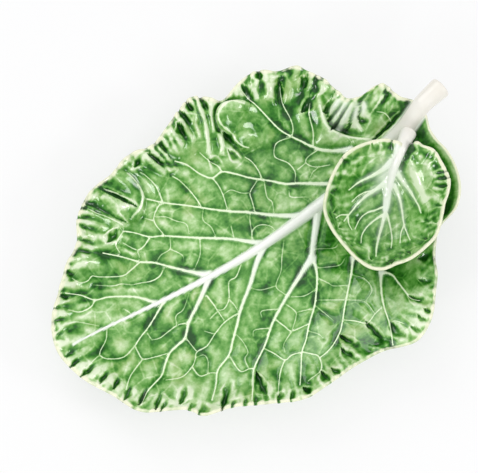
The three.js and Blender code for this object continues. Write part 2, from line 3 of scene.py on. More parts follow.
import bmesh
import bpy
import numpy as np
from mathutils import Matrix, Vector


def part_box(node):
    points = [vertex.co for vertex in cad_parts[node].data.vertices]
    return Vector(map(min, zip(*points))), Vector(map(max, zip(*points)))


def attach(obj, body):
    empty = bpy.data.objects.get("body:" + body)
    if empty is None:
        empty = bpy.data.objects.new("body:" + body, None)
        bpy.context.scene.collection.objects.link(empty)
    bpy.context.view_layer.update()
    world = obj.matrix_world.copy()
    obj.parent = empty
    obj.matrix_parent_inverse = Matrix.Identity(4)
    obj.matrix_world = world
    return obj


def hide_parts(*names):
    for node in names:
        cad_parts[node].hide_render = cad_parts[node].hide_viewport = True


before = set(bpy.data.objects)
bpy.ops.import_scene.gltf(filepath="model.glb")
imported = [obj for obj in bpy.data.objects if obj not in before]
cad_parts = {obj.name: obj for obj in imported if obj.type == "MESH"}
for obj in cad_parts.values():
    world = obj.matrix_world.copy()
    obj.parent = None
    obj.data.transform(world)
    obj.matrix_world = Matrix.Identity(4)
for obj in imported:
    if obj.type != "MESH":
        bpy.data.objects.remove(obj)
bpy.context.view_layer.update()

# Cabbage leaf dish in glazed earthenware. Shapes are worked out in millimetres from a datum on the
# table under the middle of the large leaf, which is also the middle of its foot ring, with +X from
# the leaf's tip to its stalk. They go into the frame when a mesh is made.
MM = 0.001
FOOT_LOW, FOOT_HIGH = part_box("foot_ring")
BOWL_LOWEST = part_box("small_leaf_bowl")[0].z
DATUM = np.array([(FOOT_LOW.x + FOOT_HIGH.x) / 2, (FOOT_LOW.y + FOOT_HIGH.y) / 2, 0.0])

# Size of the photograph in pixels, and the camera that is fitted to it
PHOTO_SIZE = (478, 473)
CAMERA_AIM = np.array([-2.5, 19.3, 15.0])
CAMERA_AZIMUTH = math.radians(-35.4)
CAMERA_ELEVATION = math.radians(76.45)
CAMERA_DISTANCE = 1203.0
CAMERA_LENS = 122.0
CAMERA_SENSOR = 36.0

# Large leaf: half-sizes of its oval, its wall and the radius of its lip, half-sizes of its flat floor,
# heights of floor and rim, how far the plain rim rises towards one bearing, how steep it gets, and the
# power by which its lobes fade inwards
LEAF_HALF_SIZES = (156.0, 116.0)
LEAF_WALL = 5.0
LEAF_LIP = 1.7
LEAF_FLOOR = (72.0, 52.0)
LEAF_FLOOR_HEIGHT = 8.8
LEAF_RIM_HEIGHT = 30.0
LEAF_RIM_RISE = 18.0
LEAF_RIM_HIGH = math.radians(15)
LEAF_STEEPNESS = 1.7
LOBE_FADE = 6.0
# Bearing in degrees, how far the margin stands out from the oval, and its lift above the lowest rim
LEAF_MARGIN = [
    (3, 3, 17), (8.5, 5, 16), (11.5, 1, 16), (13.5, 2, 16), (16, 4, 16), (18.3, 3, 15),
    (19.4, -2, 14), (20.4, -9, 13), (22, -13, 12), (24.5, -14.5, 11), (27, -11.5, 13), (30, -8, 14),
    (33.5, -3, 16), (38, 2, 15), (42, 7, 14), (49, 6, 11), (54, 9, 12), (57, 7.5, 13), (61, 3, 12),
    (68, -3, 8), (73, 3, 10), (78, 7, 12), (84, 3, 11), (93, -4, 9), (101, -5, 6), (106, -1, 8),
    (110, 0, 10), (118, -1, 8), (122, 3, 6), (128, 4, 8), (135, 2, 8), (143, -5, 5), (149, -2, 3),
    (157, 1, 2), (163, 6, 1), (171, 8, 0), (180, 2.5, 0), (190, -5, 0), (200, -5, 2), (207, -12, 1),
    (211, -14, 0), (217, -10, 2), (224, -14, 1), (240, -10, 2), (252, -4, 3), (263, -5, 5),
    (276, -4.5, 4), (286, 1, 3), (294, 13, 5), (301, 12.5, 6), (311, 4, 7), (316, 0, 7), (321, -6, 8),
    (326, -9, 9), (332, -7.5, 11), (335, 0.5, 17), (338, 3.5, 20), (341, 4.5, 21), (345, 4, 21),
    (349, 2.5, 21), (352, 1, 20), (356, -2, 20), (359, -1.5, 18),
]

# Stalk of the large leaf: hundredths of the leaf's half-sizes, and the width there. Then half its
# height and how far its middle stands above the leaf, as shares of its width, the rounding of its
# thin end as a share of half its height and of its thick end in millimetres, and how many fine ribs
# run along it.
STALK_PATH = [
    (-95.5, 17.8, 1.2), (-81, 16.6, 1.6), (-54.5, 12.2, 2.6), (-25, 6.6, 4.2), (4, 3.6, 5.8),
    (27.5, 3.7, 7.4), (42, 4.2, 8.4), (64, 5, 10.5), (82, 7.8, 12.5), (91, 9.2, 13.5), (98.5, 12, 14),
    (105, 14, 14.5), (114, 15.5, 16.5),
]
STALK_HALF_HEIGHT = 0.46
STALK_RAISED = 0.18
STALK_TIP_ROUND = 0.9
STALK_END_ROUND = 1.6
STALK_RIBS = 9

# Small leaf bowl, with its margin as for the large leaf
BOWL_CENTRE = (0.565 * LEAF_HALF_SIZES[0], -0.285 * LEAF_HALF_SIZES[1])
BOWL_WALL = 4.0
BOWL_LIP = 1.6
BOWL_RIM_RADIUS = 46.0
BOWL_FLOOR_RADIUS = 15.0
BOWL_DEPTH = 26.0
BOWL_RIM_RISE = 9.0
BOWL_RIM_HIGH = math.radians(30)
BOWL_STEEPNESS = 1.5
BOWL_FLOOR_HEIGHT = BOWL_LOWEST / MM + BOWL_WALL / 2
BOWL_MARGIN = [
    (4, 8, 10), (14, 10, 11), (23, 8.5, 10), (28, 9.5, 7), (35, 6, -2), (43, 5.5, 5), (51, 5.5, 9),
    (61, 5, 9), (77, 4, 9), (88, 3.5, 8), (101, 1, 7), (115, -1, 6), (130, -2, 5), (140, -2, 4),
    (151, -3, 3), (163, -5, 2), (184, -6.5, 2), (205, -4.5, 1), (220, -2, 0), (233, -2, 0),
    (247, -5, 1), (260, -5, 2), (281, -5, 3), (296, -3.5, 4), (311, -3.5, 5), (321, -3, 6),
    (330, -1.5, 7), (340, 3, 8), (349, 6.5, 8), (355, 7, 9),
]

# Stalk of the bowl: hundredths of the bowl's rim radius from its middle, and the width there. Then
# the place and width where it ends on the large stalk, the height at which it rests there, how late
# it bends towards that height, half its own height as a share of its width, the rounding of its thick
# end, and its ribs.
SMALL_STALK_PATH = [(14, 7, 3.0), (35, 28, 4.8), (55, 46, 6), (75, 59, 7), (91, 70, 9.5)]
SMALL_STALK_END = (138.5, 4.2, 12.5)
SMALL_STALK_REST = 43.5
SMALL_STALK_BEND = 6
SMALL_STALK_HALF_HEIGHT = 0.4
SMALL_STALK_END_ROUND = 3.2
SMALL_STALK_RIBS = 7

# Side veins of the large leaf, as pixels along them in the photograph, in the order that the sap runs.
# Each starts with its width in millimetres at its root and at its end.
LEAF_VEINS = [
    ((2.0, 1.0), [(153, 302), (135, 297), (110, 297), (95, 300), (80, 295), (65, 293)]),
    ((2.9, 1.1), [(205, 275), (180, 269.5), (155, 263), (140, 262), (122, 257), (103, 253)]),
    ((3.0, 1.1), [(258, 243), (230, 239), (200, 238), (165, 236), (150, 237), (135, 233), (123, 231)]),
    ((3.2, 1.1), [(293, 216), (270, 215), (250, 212.5), (225, 211), (190, 206), (165, 203), (147, 199)]),
    ((3.0, 1.0), [(329, 184), (300, 183.5), (285, 184), (270, 181), (250, 178), (235, 174), (222, 172),
                  (212, 178), (200, 174), (187, 165), (175, 161)]),
    ((2.6, 1.0), [(350, 151), (325, 151), (312, 147), (300, 141), (292, 137), (280, 130), (268, 118),
                  (255, 104), (241, 90)]),
    ((1.8, 1.1), [(163, 303), (150, 325), (140, 338), (135, 346)]),
    ((3.4, 1.0), [(210, 275), (203, 293), (196, 308), (189, 322), (185, 338), (178, 345), (170, 353),
                  (165, 365), (162, 375), (155, 383), (147, 392), (141, 405)]),
    ((3.8, 1.0), [(262, 250), (256, 265), (250, 285), (243, 303), (240, 312), (237, 325), (233, 340),
                  (229, 355), (218, 370), (216, 385), (212, 400)]),
    ((5.0, 3.6), [(317.5, 210), (316, 225), (313, 245), (312, 258)]),
    ((3.4, 1.0), [(312, 258), (305, 268), (296, 282), (285, 300), (275, 318), (270, 330), (265, 345),
                  (254, 369), (253, 385), (252, 400)]),
    ((2.2, 1.0), [(313, 258), (317, 275), (316, 295), (314, 308), (309, 325), (306, 340), (302, 352),
                  (301, 370), (300, 385)]),
    ((1.9, 1.0), [(353, 258), (351, 275), (348, 290), (345, 305), (343, 318), (340, 332), (333, 345),
                  (326, 353), (319, 358)]),
    ((2.0, 1.1), [(381, 272), (381, 285), (382, 297), (385, 310), (390, 325), (392, 338), (393, 345)]),
    ((1.6, 1.0), [(382, 272), (392, 275), (397, 281), (404, 290), (411, 298), (420, 300)]),
]
# Branches between the side veins, and the finer veins of the net. A form is the widths at root and
# end, the height over half the width, the flare at the root, and how strongly the vein shows.
LEAF_BRANCH_FORM = ((1.25, 0.95), 0.65, 0.4, 0.74)
LEAF_BRANCHES = [
    [(95, 300), (91, 307), (80, 312), (68, 310)],
    [(140, 262), (130, 271), (122, 276), (100, 277), (92, 276), (88, 281), (80, 283), (72, 278)],
    [(163, 270), (160, 276), (152, 281), (141, 283), (132, 285)],
    [(202, 208), (197, 200), (190, 191), (180, 181), (172, 176)],
    [(163, 203), (160, 195), (155, 185), (145, 175), (140, 172)],
    [(212, 178), (218, 185), (223, 195), (227, 208)],
    [(222, 172), (217, 165), (208, 160), (200, 153)],
    [(262, 179), (258, 170), (252, 162), (245, 157)],
    [(292, 137), (293, 128), (290, 118), (283, 105), (281, 95), (280, 85)],
    [(313, 145), (313, 132), (309, 115), (310, 103)],
    [(292, 137), (280, 141), (275, 146), (275, 157), (288, 163), (295, 172), (295, 181)],
    [(318, 150), (308, 157), (306, 163), (315, 167), (330, 165)],
    [(135, 346), (124, 357), (110, 359), (102, 357), (100, 352), (106, 340), (107, 329)],
    [(135, 346), (138, 352), (143, 359), (155, 357), (169, 353)],
    [(143, 359), (136, 368), (130, 377), (126, 390)],
    [(186, 338), (193, 347), (197, 352)],
    [(188, 323), (178, 325), (168, 332), (160, 338), (152, 340)],
    [(240, 312), (225, 322), (215, 334), (207, 346), (197, 352), (195, 360), (192, 367),
     (182, 377), (166, 380)],
    [(192, 367), (200, 376), (210, 373), (217, 373)],
    [(230, 357), (240, 371), (249, 369), (255, 368)],
    [(276, 320), (284, 326), (291, 331), (300, 328), (308, 324)],
    [(265, 349), (275, 354), (285, 360), (292, 355), (302, 352)],
    [(285, 360), (281, 370), (279, 382), (278, 395)],
    [(302, 352), (312, 354), (319, 357), (321, 370), (308, 381)],
    [(343, 320), (355, 321), (367, 323), (375, 314), (381, 308)],
    [(165, 203), (158, 207), (154, 221), (165, 236)],
    [(207, 296), (214, 305), (217, 310), (224, 320)],
    [(241, 265), (236, 277), (229, 282), (229, 299), (224, 309), (217, 310)],
    [(149, 239), (144, 246), (137, 250), (123, 243)],
    [(255, 212), (252, 201), (250, 193), (255, 184), (258, 180)],
]
LEAF_NET_FORM = ((1.15, 0.9), 0.45, 0.2, 0.6)
LEAF_NET = [
    [(203, 210), (203, 220), (211, 227), (215, 235), (217, 238)],
    [(250, 193), (241, 193), (231, 190), (224, 194)],
    [(154, 221), (144, 218)],
    [(156, 217), (166, 217), (176, 221), (186, 224), (189, 232)],
    [(137, 250), (140, 258)],
    [(170, 238), (170, 249), (161, 255), (157, 262)],
    [(170, 249), (182, 255), (184, 262)],
    [(200, 240), (200, 255), (195, 268)],
    [(231, 226), (234, 238)],
    [(250, 214), (250, 221), (252, 234), (254, 243)],
    [(318, 168), (313, 172), (310, 178)],
    [(306, 163), (297, 170)],
    [(264, 181), (267, 197), (272, 202), (274, 214)],
    [(289, 191), (291, 197), (306, 197)],
    [(251, 241), (253, 230), (260, 225), (270, 226), (276, 231)],
    [(132, 285), (121, 284), (113, 286), (93, 285)],
    [(124, 309), (130, 313), (133, 319)],
    [(67, 324), (77, 322), (89, 324), (99, 326)],
    [(100, 355), (93, 361), (86, 369)],
    [(177, 326), (176, 316), (183, 310), (187, 300), (189, 293)],
    [(147, 333), (152, 340)],
    [(229, 299), (235, 306), (238, 312)],
    [(217, 312), (210, 319)],
    [(214, 334), (204, 331)],
    [(208, 374), (208, 361), (204, 355), (197, 357)],
    [(249, 369), (245, 359), (248, 352), (243, 342), (236, 334)],
    [(292, 331), (284, 344), (285, 352)],
    [(280, 309), (262, 311), (262, 318)],
    [(284, 303), (295, 311), (296, 317), (292, 331)],
    [(271, 328), (255, 330), (253, 336)],
    [(284, 240), (282, 256), (281, 271), (276, 286), (283, 293), (288, 296)],
    [(276, 286), (261, 290), (250, 288)],
    [(315, 290), (304, 296), (290, 297)],
    [(311, 309), (298, 312)],
    [(317, 307), (328, 316), (334, 321)],
    [(315, 249), (334, 248), (338, 244)],
    [(316, 300), (335, 300), (349, 300), (365, 302), (375, 314)],
    [(317, 278), (328, 283), (334, 286), (349, 285)],
    [(316, 268), (328, 267), (340, 265), (345, 258)],
    [(308, 331), (318, 334), (323, 338)],
    [(352, 275), (365, 279), (372, 290), (365, 302)],
    [(390, 322), (396, 321), (405, 324)],
]

# Pits and furrows pressed into the ruffled margin: pixels of both ends, then width and depth in
# millimetres
LEAF_SLOTS = [
    ((68, 271), (75, 277), 3.5, 2.5), ((61, 295), (70, 298), 3.2, 2.5),
    ((55, 308), (60, 306), 2.4, 1.5), ((56, 320), (66, 317), 2.4, 2),
    ((58, 334), (63, 331), 2.4, 1.5), ((66, 356), (73, 352), 2.8, 2),
    ((71, 366), (78, 358), 3.2, 2.5), ((83, 374), (95, 365), 3.8, 3.5),
    ((101, 381), (108, 371), 4, 3.5), ((114, 387), (119, 377), 3.2, 3),
    ((125, 398), (132, 386), 3.8, 3.5), ((140, 402), (147, 388), 4, 3.5),
    ((156, 407), (161, 392), 4, 4), ((162, 408), (166, 399), 3.5, 3), ((181, 401), (186, 386), 5, 4),
    ((189, 408), (195, 403), 4, 3), ((200, 412), (206, 404), 6, 3),
    ((223, 404), (230, 382), 5.5, 4.5), ((232, 405), (235, 399), 3, 2),
    ((244, 405), (247, 398), 3, 2.5), ((255, 403), (258, 394), 4, 3),
    ((258, 376), (267, 399), 6, 4.5), ((278, 401), (282, 392), 4, 3.5),
    ((291, 398), (295, 390), 4, 3), ((305, 388), (313, 394), 5, 4), ((323, 373), (331, 383), 5, 4),
    ((333, 369), (341, 374), 4, 3.5), ((343, 350), (354, 359), 4.5, 4),
    ((343, 337), (360, 348), 5, 4.5), ((369, 324), (384, 341), 4, 4.5),
    ((393, 325), (405, 341), 7, 3.5), ((413, 327), (421, 333), 3.5, 3),
    ((419, 316), (426, 322), 3, 2.5), ((425, 309), (432, 313), 3, 2.5),
    ((412, 297), (426, 303), 4.5, 3), ((421, 280), (433, 283), 3.5, 2.5),
    ((420, 258), (430, 255), 5, 2.2), ((80, 209), (88, 204), 3, 2.5), ((79, 218), (90, 215), 4, 3),
    ((84, 240), (95, 243), 3, 2), ((82, 250), (92, 252), 3, 2), ((131, 205), (98, 187), 2.8, 4.5),
    ((122, 220), (98, 207), 4, 1.8), ((109, 240), (119, 228), 4.5, 4), ((135, 165), (141, 156), 4, 3),
    ((150, 155), (164, 163), 4, 4), ((160, 163), (178, 165), 4, 2.5), ((156, 142), (168, 152), 6, 3),
    ((179, 125), (185, 136), 4.5, 4), ((180, 112), (191, 125), 4.5, 4),
    ((187, 103), (195, 112), 5, 4), ((201, 99), (209, 112), 4.5, 4.5), ((212, 160), (222, 165), 6, 3),
    ((225, 134), (232, 146), 5, 4), ((231, 152), (240, 160), 4, 4), ((258, 72), (260, 80), 5, 3.5),
    ((244, 88), (258, 104), 6, 3), ((279, 84), (280, 108), 5, 4), ((303, 79), (309, 85), 6, 4),
    ((303, 110), (310, 98), 5, 3.5), ((385, 91), (387, 98), 3.5, 2.5),
    ((376, 137), (411, 103), 3, 3.5), ((324, 110), (335, 99), 3.8, 4),
    ((329, 118), (343, 104), 3.2, 4.5), ((332, 128), (349.5, 103), 2.6, 4.5),
    ((348.5, 126), (354.5, 109), 2.6, 4), ((359, 117), (360.5, 105), 2.2, 2.5),
    ((360, 119), (369, 122), 6, 5),
]

# Ribs in the pocket by the stalk, with white glaze along their tops, as pixels along them
LEAF_RIB_WIDTH = 4.0
LEAF_RIB_HEIGHT = 2.2
LEAF_RIB_WHITE = 0.85
LEAF_RIBS = [
    [(329.5, 112), (336, 105), (344, 98)], [(331, 123), (340, 111.5), (349.5, 100)],
    [(337, 131), (345, 118), (353, 104)], [(353, 122), (356, 111), (357.5, 102)],
    [(362.5, 115), (363.5, 108), (364, 101)],
]
# Soft ridges of the blade: pixels along each, then its width and height
LEAF_RIDGES = [
    ([(168, 129), (176, 138), (184, 147)], 4.5, 1.8),
    ([(175, 114), (183, 123), (190, 133), (196, 142)], 4.5, 2.2),
    ([(187, 105), (193, 114), (197, 127), (201, 140)], 4, 1.8),
    ([(197, 98), (201, 111), (205, 123), (208, 140), (209, 156)], 3.6, 2.2),
    ([(211, 112), (213, 123), (214, 133)], 3.5, 1.5), ([(219, 131), (222, 146), (223, 157)], 5, 2.5),
    ([(146, 157), (156, 166), (167, 174)], 4.5, 2.0), ([(102, 196), (115, 204), (128, 211)], 6, 1.2),
    ([(285, 72), (288, 90), (285, 106)], 5, 1.6), ([(312, 80), (311, 92), (306, 106)], 5, 1.6),
    ([(262, 72), (267, 86), (270, 100)], 5, 1.4),
    ([(230, 139), (240, 138), (250, 138), (264, 141)], 9, 1.6),
]
# Thin pale crests along the edges of the folds: their width at the end as a share, height over half the
# width and strength, then the width of each and pixels along it
LEAF_CREST_TAPER = 0.8
LEAF_CREST_HEIGHT = 0.3
LEAF_CREST_STRENGTH = 0.75
LEAF_CRESTS = [
    (1.4, [(244, 106), (233, 105), (226, 108), (222, 113), (221, 119), (224, 125.5),
           (230, 130), (235, 134)]),
    (1.4, [(235, 135), (238, 141), (243, 146), (249, 148)]),
    # This crest round the nose of the left fold is pale glaze on its edge and also a painted highlight
    (2.4, [(128, 175), (136, 184), (141, 193), (142, 201), (139, 210), (132, 218)]),
    (1.4, [(104, 189), (116, 194), (130, 201)]),
    (1.4, [(88, 209), (98, 214), (107, 217), (123, 225)]),
    (1.4, [(104, 236), (111, 230), (119, 227)]),
    (1.4, [(123, 232), (118, 240), (116, 246), (120, 253)]),
    (2.4, [(319, 107.5), (322, 118), (326.5, 128), (333.5, 133.5), (344.5, 138),
           (358, 140.5), (376, 141)]),
    (1.2, [(377, 112), (383, 113.5), (388, 117), (391, 121)]),
]
# Broad spots on the leaf that darken the glaze, as painted shade and thicker glaze, or lighten it, as
# painted light against
# cast shade: a pixel, then radius in millimetres and strength
LEAF_SHADE_SPOTS = [
    ((285, 108), 33, 0.6), ((255, 322), 58, 0.26), ((104, 218), 27, 0.23), ((190, 133), 23, 0.2),
    ((408, 305), 26, -0.13), ((80, 325), 28, -0.07), ((215, 392), 50, -0.08), ((415, 273), 16, 0.5),
    ((310, 203), 15, -0.14), ((390, 112), 13, -0.14),
]
# Broad spots of painted shade in the bowl, and of painted light where negative, in the same form
BOWL_SHADE_SPOTS = [((347, 205), 18, 0.3), ((420, 192), 17, -0.14)]
# Bearing of the middle of the most ruffled half of the margin
LEAF_RUFFLED = math.radians(90)
# Side of the leaf that stays smooth, behind the bowl, between two bearings in degrees
LEAF_SMOOTH_SIDE = (-29, 3)
# Fold of the blade beside the stalk, a ledge whose edge follows these pixels with its high side on
# the left: then its lift, how far it runs back, how far its edge hangs over, and the depth of the
# pocket under it
LEAF_LEDGES = [
    ([(378, 139), (358, 138.5), (345, 136), (335, 132), (328, 127), (324, 117), (321, 107), (317, 97)],
     3.4, 13, 1, 6),
]
# Swollen folds: pixels round each with its inside on the left, then its lift, the width of its
# rounded edge, its overhang, the depth of the hollow beside it, and the two pixels between which it
# fades into the blade
LEAF_CUSHIONS = [
    ([(110, 168), (100, 178), (90, 187), (84, 198), (92, 206), (106, 212), (120, 219), (134, 222),
      (142, 213), (145, 201), (140, 187), (128, 174)],
     3.4, 6, 1.0, 0.3, (125, 203), (88, 190)),
    ([(232, 103), (224, 105), (219, 111), (218, 119), (221, 127), (228, 132), (233, 135), (236, 142),
      (242, 149), (254, 150), (266, 140), (268, 120), (256, 107), (244, 102)],
     6, 8, 2.5, 3.5, (226, 120), (262, 126)),
]

# Veins of the bowl: the width of each at its root and end, then pixels along it
BOWL_VEINS = [
    ((4.8, 1.3), [(388, 185), (387, 205), (382, 225), (377, 245), (376, 256)]),
    ((3.6, 0.9), [(391, 163), (381, 171), (370, 177), (358, 183), (349, 190)]),
    ((3.6, 0.9), [(389, 180), (377, 189), (365, 197), (356, 206), (348, 216), (344, 221)]),
    ((1.7, 0.8), [(386, 206), (376, 210), (367, 213), (360, 219), (355, 229)]),
    ((1.7, 0.8), [(383, 215), (375, 220), (367, 227), (362, 235), (361, 243)]),
    ((2.8, 0.9), [(396, 172), (403, 182), (411, 193), (418, 205), (421, 213)]),
    ((2.4, 0.8), [(394, 186), (399, 197), (402, 211), (404, 225), (407, 233), (410, 240)]),
    ((1.7, 0.8), [(387, 214), (390, 226), (392, 238), (391, 248)]),
    ((1.1, 0.7), [(374, 191), (366, 192), (358, 196), (352, 202)]),
    ((1.0, 0.7), [(348, 215), (341, 215), (336, 218)]),
    ((1.0, 0.7), [(348, 217), (349, 224), (352, 230)]),
    ((1.0, 0.7), [(404, 225), (401, 233), (400, 243)]),
]

# Where the white glaze of the bowl's stalk runs out over its veins: a pixel, and the reach in
# millimetres
BOWL_WEB = ((387, 176), 8)
# Dark gap between the bowl's stalk and its rim, as pixels along it
BOWL_SHADE_GAP = [(412, 140), (409, 149), (405, 162)]
# Creases in the bowl's wall: pixels of both ends, then width and depth
BOWL_SLOTS = [
    ((449, 171), (434, 173), 3, 1.6), ((449, 178), (434, 179), 3, 1.6),
    ((447, 186), (432, 185), 3, 1.5), ((435, 151), (424, 165), 4, 0.8),
    ((420, 143), (425, 156), 4, 0.6), ((441, 206), (426, 199), 4, 1.1),
    ((436, 222), (420, 212), 4.5, 1.1), ((426, 239), (412, 226), 4.5, 1.1),
    ((409, 253), (402, 239), 4.5, 1.0), ((391, 263), (390, 249), 4, 0.9),
    ((371, 259), (375, 245), 4, 1.0), ((339, 227), (353, 219), 4, 1.0),
    ((334, 212), (348, 207), 4, 1.0), ((331, 192), (345, 188), 4, 0.9),
    ((343, 159), (355, 172), 5, 1.3), ((373, 144), (377, 157), 4, 1.0),
    ((393, 141), (383, 159), 5, 1.5), ((411, 142), (404, 164), 6, 3.0),
]
# Folds in the bowl's wall: pixels along each, then its width and height
BOWL_RIDGES = [
    ([(404, 148), (411, 163), (416, 182), (426, 203)], 7, 2.2),
    ([(434, 150), (429, 157), (424, 165)], 3, 0.9),
    ([(447, 168), (440, 170), (433, 172)], 2.4, 1.0),
    ([(447, 175), (440, 176), (434, 177)], 2.4, 1.0),
    ([(446, 182), (440, 182), (433, 182)], 2.4, 1.0),
    ([(444, 190), (438, 189), (432, 188)], 2.4, 0.9),
]

# Fineness of the meshes, and what is merged where they meet, in metres
LEAF_GRID = 272
BOWL_GRID = 180
LIP_RINGS = 4
STALK_SIDES = 32
STALK_SAMPLES = 8
LEAF_SEAM = 0.00002
STALK_SEAM = 0.00001

# Places and curves

# Tries that bring a sight line onto a curved surface, and the number and relative lengths of the sine
# waves in random relief, and the number in crinkles
SIGHT_STEPS = 8
WAVE_COUNT = 14
WAVE_LENGTHS = (0.8, 1.7)
CRINKLE_COUNT = 12


def smoothstep(low, high, value):
    """0 at low and 1 at high, with eased ends."""
    share = np.clip((value - low) / (high - low), 0, 1)
    return share * share * (3 - 2 * share)


def bell(distance, spread):
    """1 at no distance, and nearly 0 two spreads away."""
    return np.exp(-((distance / spread) ** 2))


def from_low(low, share):
    """low at no share, and 1 at a full share."""
    return low + (1 - low) * share


def dying_ends(along, power):
    """1 at the middle of a path, and 0 at both its ends."""
    return np.sin(math.pi * np.clip(along, 0.001, 0.999)) ** power


def view_axes():
    """The camera's right, up and backward directions."""
    level = math.cos(CAMERA_ELEVATION)
    back = np.array([
        math.sin(CAMERA_AZIMUTH) * level,
        -math.cos(CAMERA_AZIMUTH) * level,
        math.sin(CAMERA_ELEVATION),
    ])
    right = np.array([math.cos(CAMERA_AZIMUTH), math.sin(CAMERA_AZIMUTH), 0.0])
    return right, np.cross(back, right), back


def cast(pixels, top):
    """The places in plan where the sight lines through pixels meet a surface, given by its height."""
    right, up, back = view_axes()
    eye = CAMERA_AIM + CAMERA_DISTANCE * back
    focal = CAMERA_LENS / CAMERA_SENSOR * PHOTO_SIZE[0]
    offset = (np.array(pixels, float) - np.array(PHOTO_SIZE) / 2) / focal
    ways = offset[:, :1] * right - offset[:, 1:] * up - back
    level = np.full(len(ways), CAMERA_AIM[2])
    for _ in range(SIGHT_STEPS):
        places = eye + ways * ((level - eye[2]) / ways[:, 2])[:, None]
        level = top(places[:, 0], places[:, 1])
    return places[:, :2]


def smooth_path(points, samples=5):
    """A smooth path through points of any number of columns."""
    points = np.array(points, float)
    padded = np.concatenate([2 * points[:1] - points[1:2], points, 2 * points[-1:] - points[-2:-1]])
    share = np.linspace(0, 1, samples, endpoint=False)[:, None]
    runs = []
    for a, b, c, d in zip(padded, padded[1:], padded[2:], padded[3:]):
        bend = 2 * a - 5 * b + 4 * c - d
        twist = 3 * b - a - 3 * c + d
        runs.append(b + 0.5 * share * (c - a + share * (bend + share * twist)))
    return np.concatenate(runs + [points[-1:]])


def path_on(pixels, top):
    """A smooth path in plan through pixels on a surface."""
    return smooth_path(cast(pixels, top))


def path_runs(path):
    """Length of a path, and the share of it that lies before each of its points."""
    lengths = np.linalg.norm(np.diff(path, axis=0), axis=1)
    return lengths.sum(), np.concatenate([[0], np.cumsum(lengths)]) / lengths.sum()


def beside_path(places, path):
    """Distance of places from a path, positive on its left, the share along it, and the way to it."""
    nearest = np.full(len(places), np.inf)
    way = np.zeros((len(places), 2))
    side = np.ones(len(places))
    along = np.zeros(len(places))
    _, runs = path_runs(path)
    for start, end, run_start, run_end in zip(path, path[1:], runs, runs[1:]):
        step = end - start
        away = places - start
        share = np.clip(away @ step / (step @ step), 0, 1)
        towards = share[:, None] * step - away
        distance = np.linalg.norm(towards, axis=1)
        closer = distance < nearest
        nearest[closer] = distance[closer]
        way[closer] = towards[closer]
        side[closer] = np.where(step[0] * away[closer, 1] - step[1] * away[closer, 0] < 0, -1, 1)
        along[closer] = run_start + share[closer] * (run_end - run_start)
    return side * nearest, np.clip(along, 0, 1), way


def near_path(places, path, reach):
    """Numbers of the places that lie within reach of a path's box."""
    low = path.min(0) - reach
    high = path.max(0) + reach
    return np.flatnonzero(((places > low) & (places < high)).all(axis=1))


def round_turn(stations):
    """Smooth reading, at any bearing in radians, of values at stations round a turn in degrees."""
    table = np.array(stations, float)
    turn = np.array([360.0] + [0.0] * (table.shape[1] - 1))
    table = np.concatenate([table[-3:] - turn, table, table[:3] + turn])
    bearings = table[:, 0]
    values = table[:, 1:]
    slopes = np.gradient(values, bearings, axis=0)

    def read(bearing):
        wanted = np.mod(np.degrees(bearing), 360)
        before = np.searchsorted(bearings, wanted, side="right") - 1
        span = bearings[before + 1] - bearings[before]
        share = ((wanted - bearings[before]) / span)[:, None]
        span = span[:, None]
        start = values[before]
        change = values[before + 1] - start
        leave = slopes[before] * span
        arrive = slopes[before + 1] * span
        bend = 3 * change - 2 * leave - arrive
        return (start + share * (leave + share * (bend + share * (leave + arrive - 2 * change)))).T

    return read


def waves(places, height, size, seed):
    """Smooth random relief of about a height, with hills about size across."""
    draw = np.random.default_rng(seed)
    x, y = places.T
    total = np.zeros(len(places))
    for _ in range(WAVE_COUNT):
        way = draw.uniform(0, 2 * math.pi)
        length = size * draw.uniform(*WAVE_LENGTHS)
        phase = draw.uniform(0, 2 * math.pi)
        total += np.sin(2 * math.pi * (x * math.cos(way) + y * math.sin(way)) / length + phase)
    return height * (total / math.sqrt(WAVE_COUNT))


def crinkles(bearing, inset, height, fewest, most, slant, seed):
    """Uneven ripples of about a height that run in from a margin, between fewest and most in a turn."""
    draw = np.random.default_rng(seed)
    total = np.zeros_like(bearing)
    for _ in range(CRINKLE_COUNT):
        number = draw.integers(fewest, most)
        lean = draw.uniform(-slant, slant)
        phase = draw.uniform(0, 2 * math.pi)
        total += np.sin(number * bearing + lean * inset + phase)
    return height * (total / math.sqrt(CRINKLE_COUNT))


# Leaf-shaped dishes


def oval_reach(half_sizes, bearing):
    return 1 / np.hypot(np.cos(bearing) / half_sizes[0], np.sin(bearing) / half_sizes[1])


class LeafDish:
    """A flat floor that rises to a lobed margin, as the middle of a wall."""

    def __init__(
        self, centre, half_sizes, floor, floor_height, rim_height, rise, high, steepness, margin
    ):
        self.centre = centre
        self.half_sizes = half_sizes
        self.floor = floor
        self.floor_height = floor_height
        self.rim_height = rim_height
        self.rise = rise
        self.high = high
        self.steepness = steepness
        self.stations = round_turn(margin)

    def edge(self, bearing):
        """Reach and height of the margin."""
        proud, lift = self.stations(bearing)
        return oval_reach(self.half_sizes, bearing) + proud, self.rim_height + lift

    def plain(self, bearing, reach):
        """Height without the lobes."""
        flat = oval_reach(self.floor, bearing)
        full = oval_reach(self.half_sizes, bearing)
        rise = self.rise * (1 + np.cos(bearing - self.high)) / 2
        out = np.maximum(reach - flat, 0) / (full - flat)
        return self.floor_height + (self.rim_height + rise - self.floor_height) * out**self.steepness

    def height(self, x, y):
        away_x = x - self.centre[0]
        away_y = y - self.centre[1]
        bearing = np.arctan2(away_y, away_x)
        edge_reach, edge_height = self.edge(bearing)
        reach = np.minimum(np.hypot(away_x, away_y), edge_reach)
        lobe = edge_height - self.plain(bearing, edge_reach)
        return self.plain(bearing, reach) + lobe * (reach / edge_reach) ** LOBE_FADE


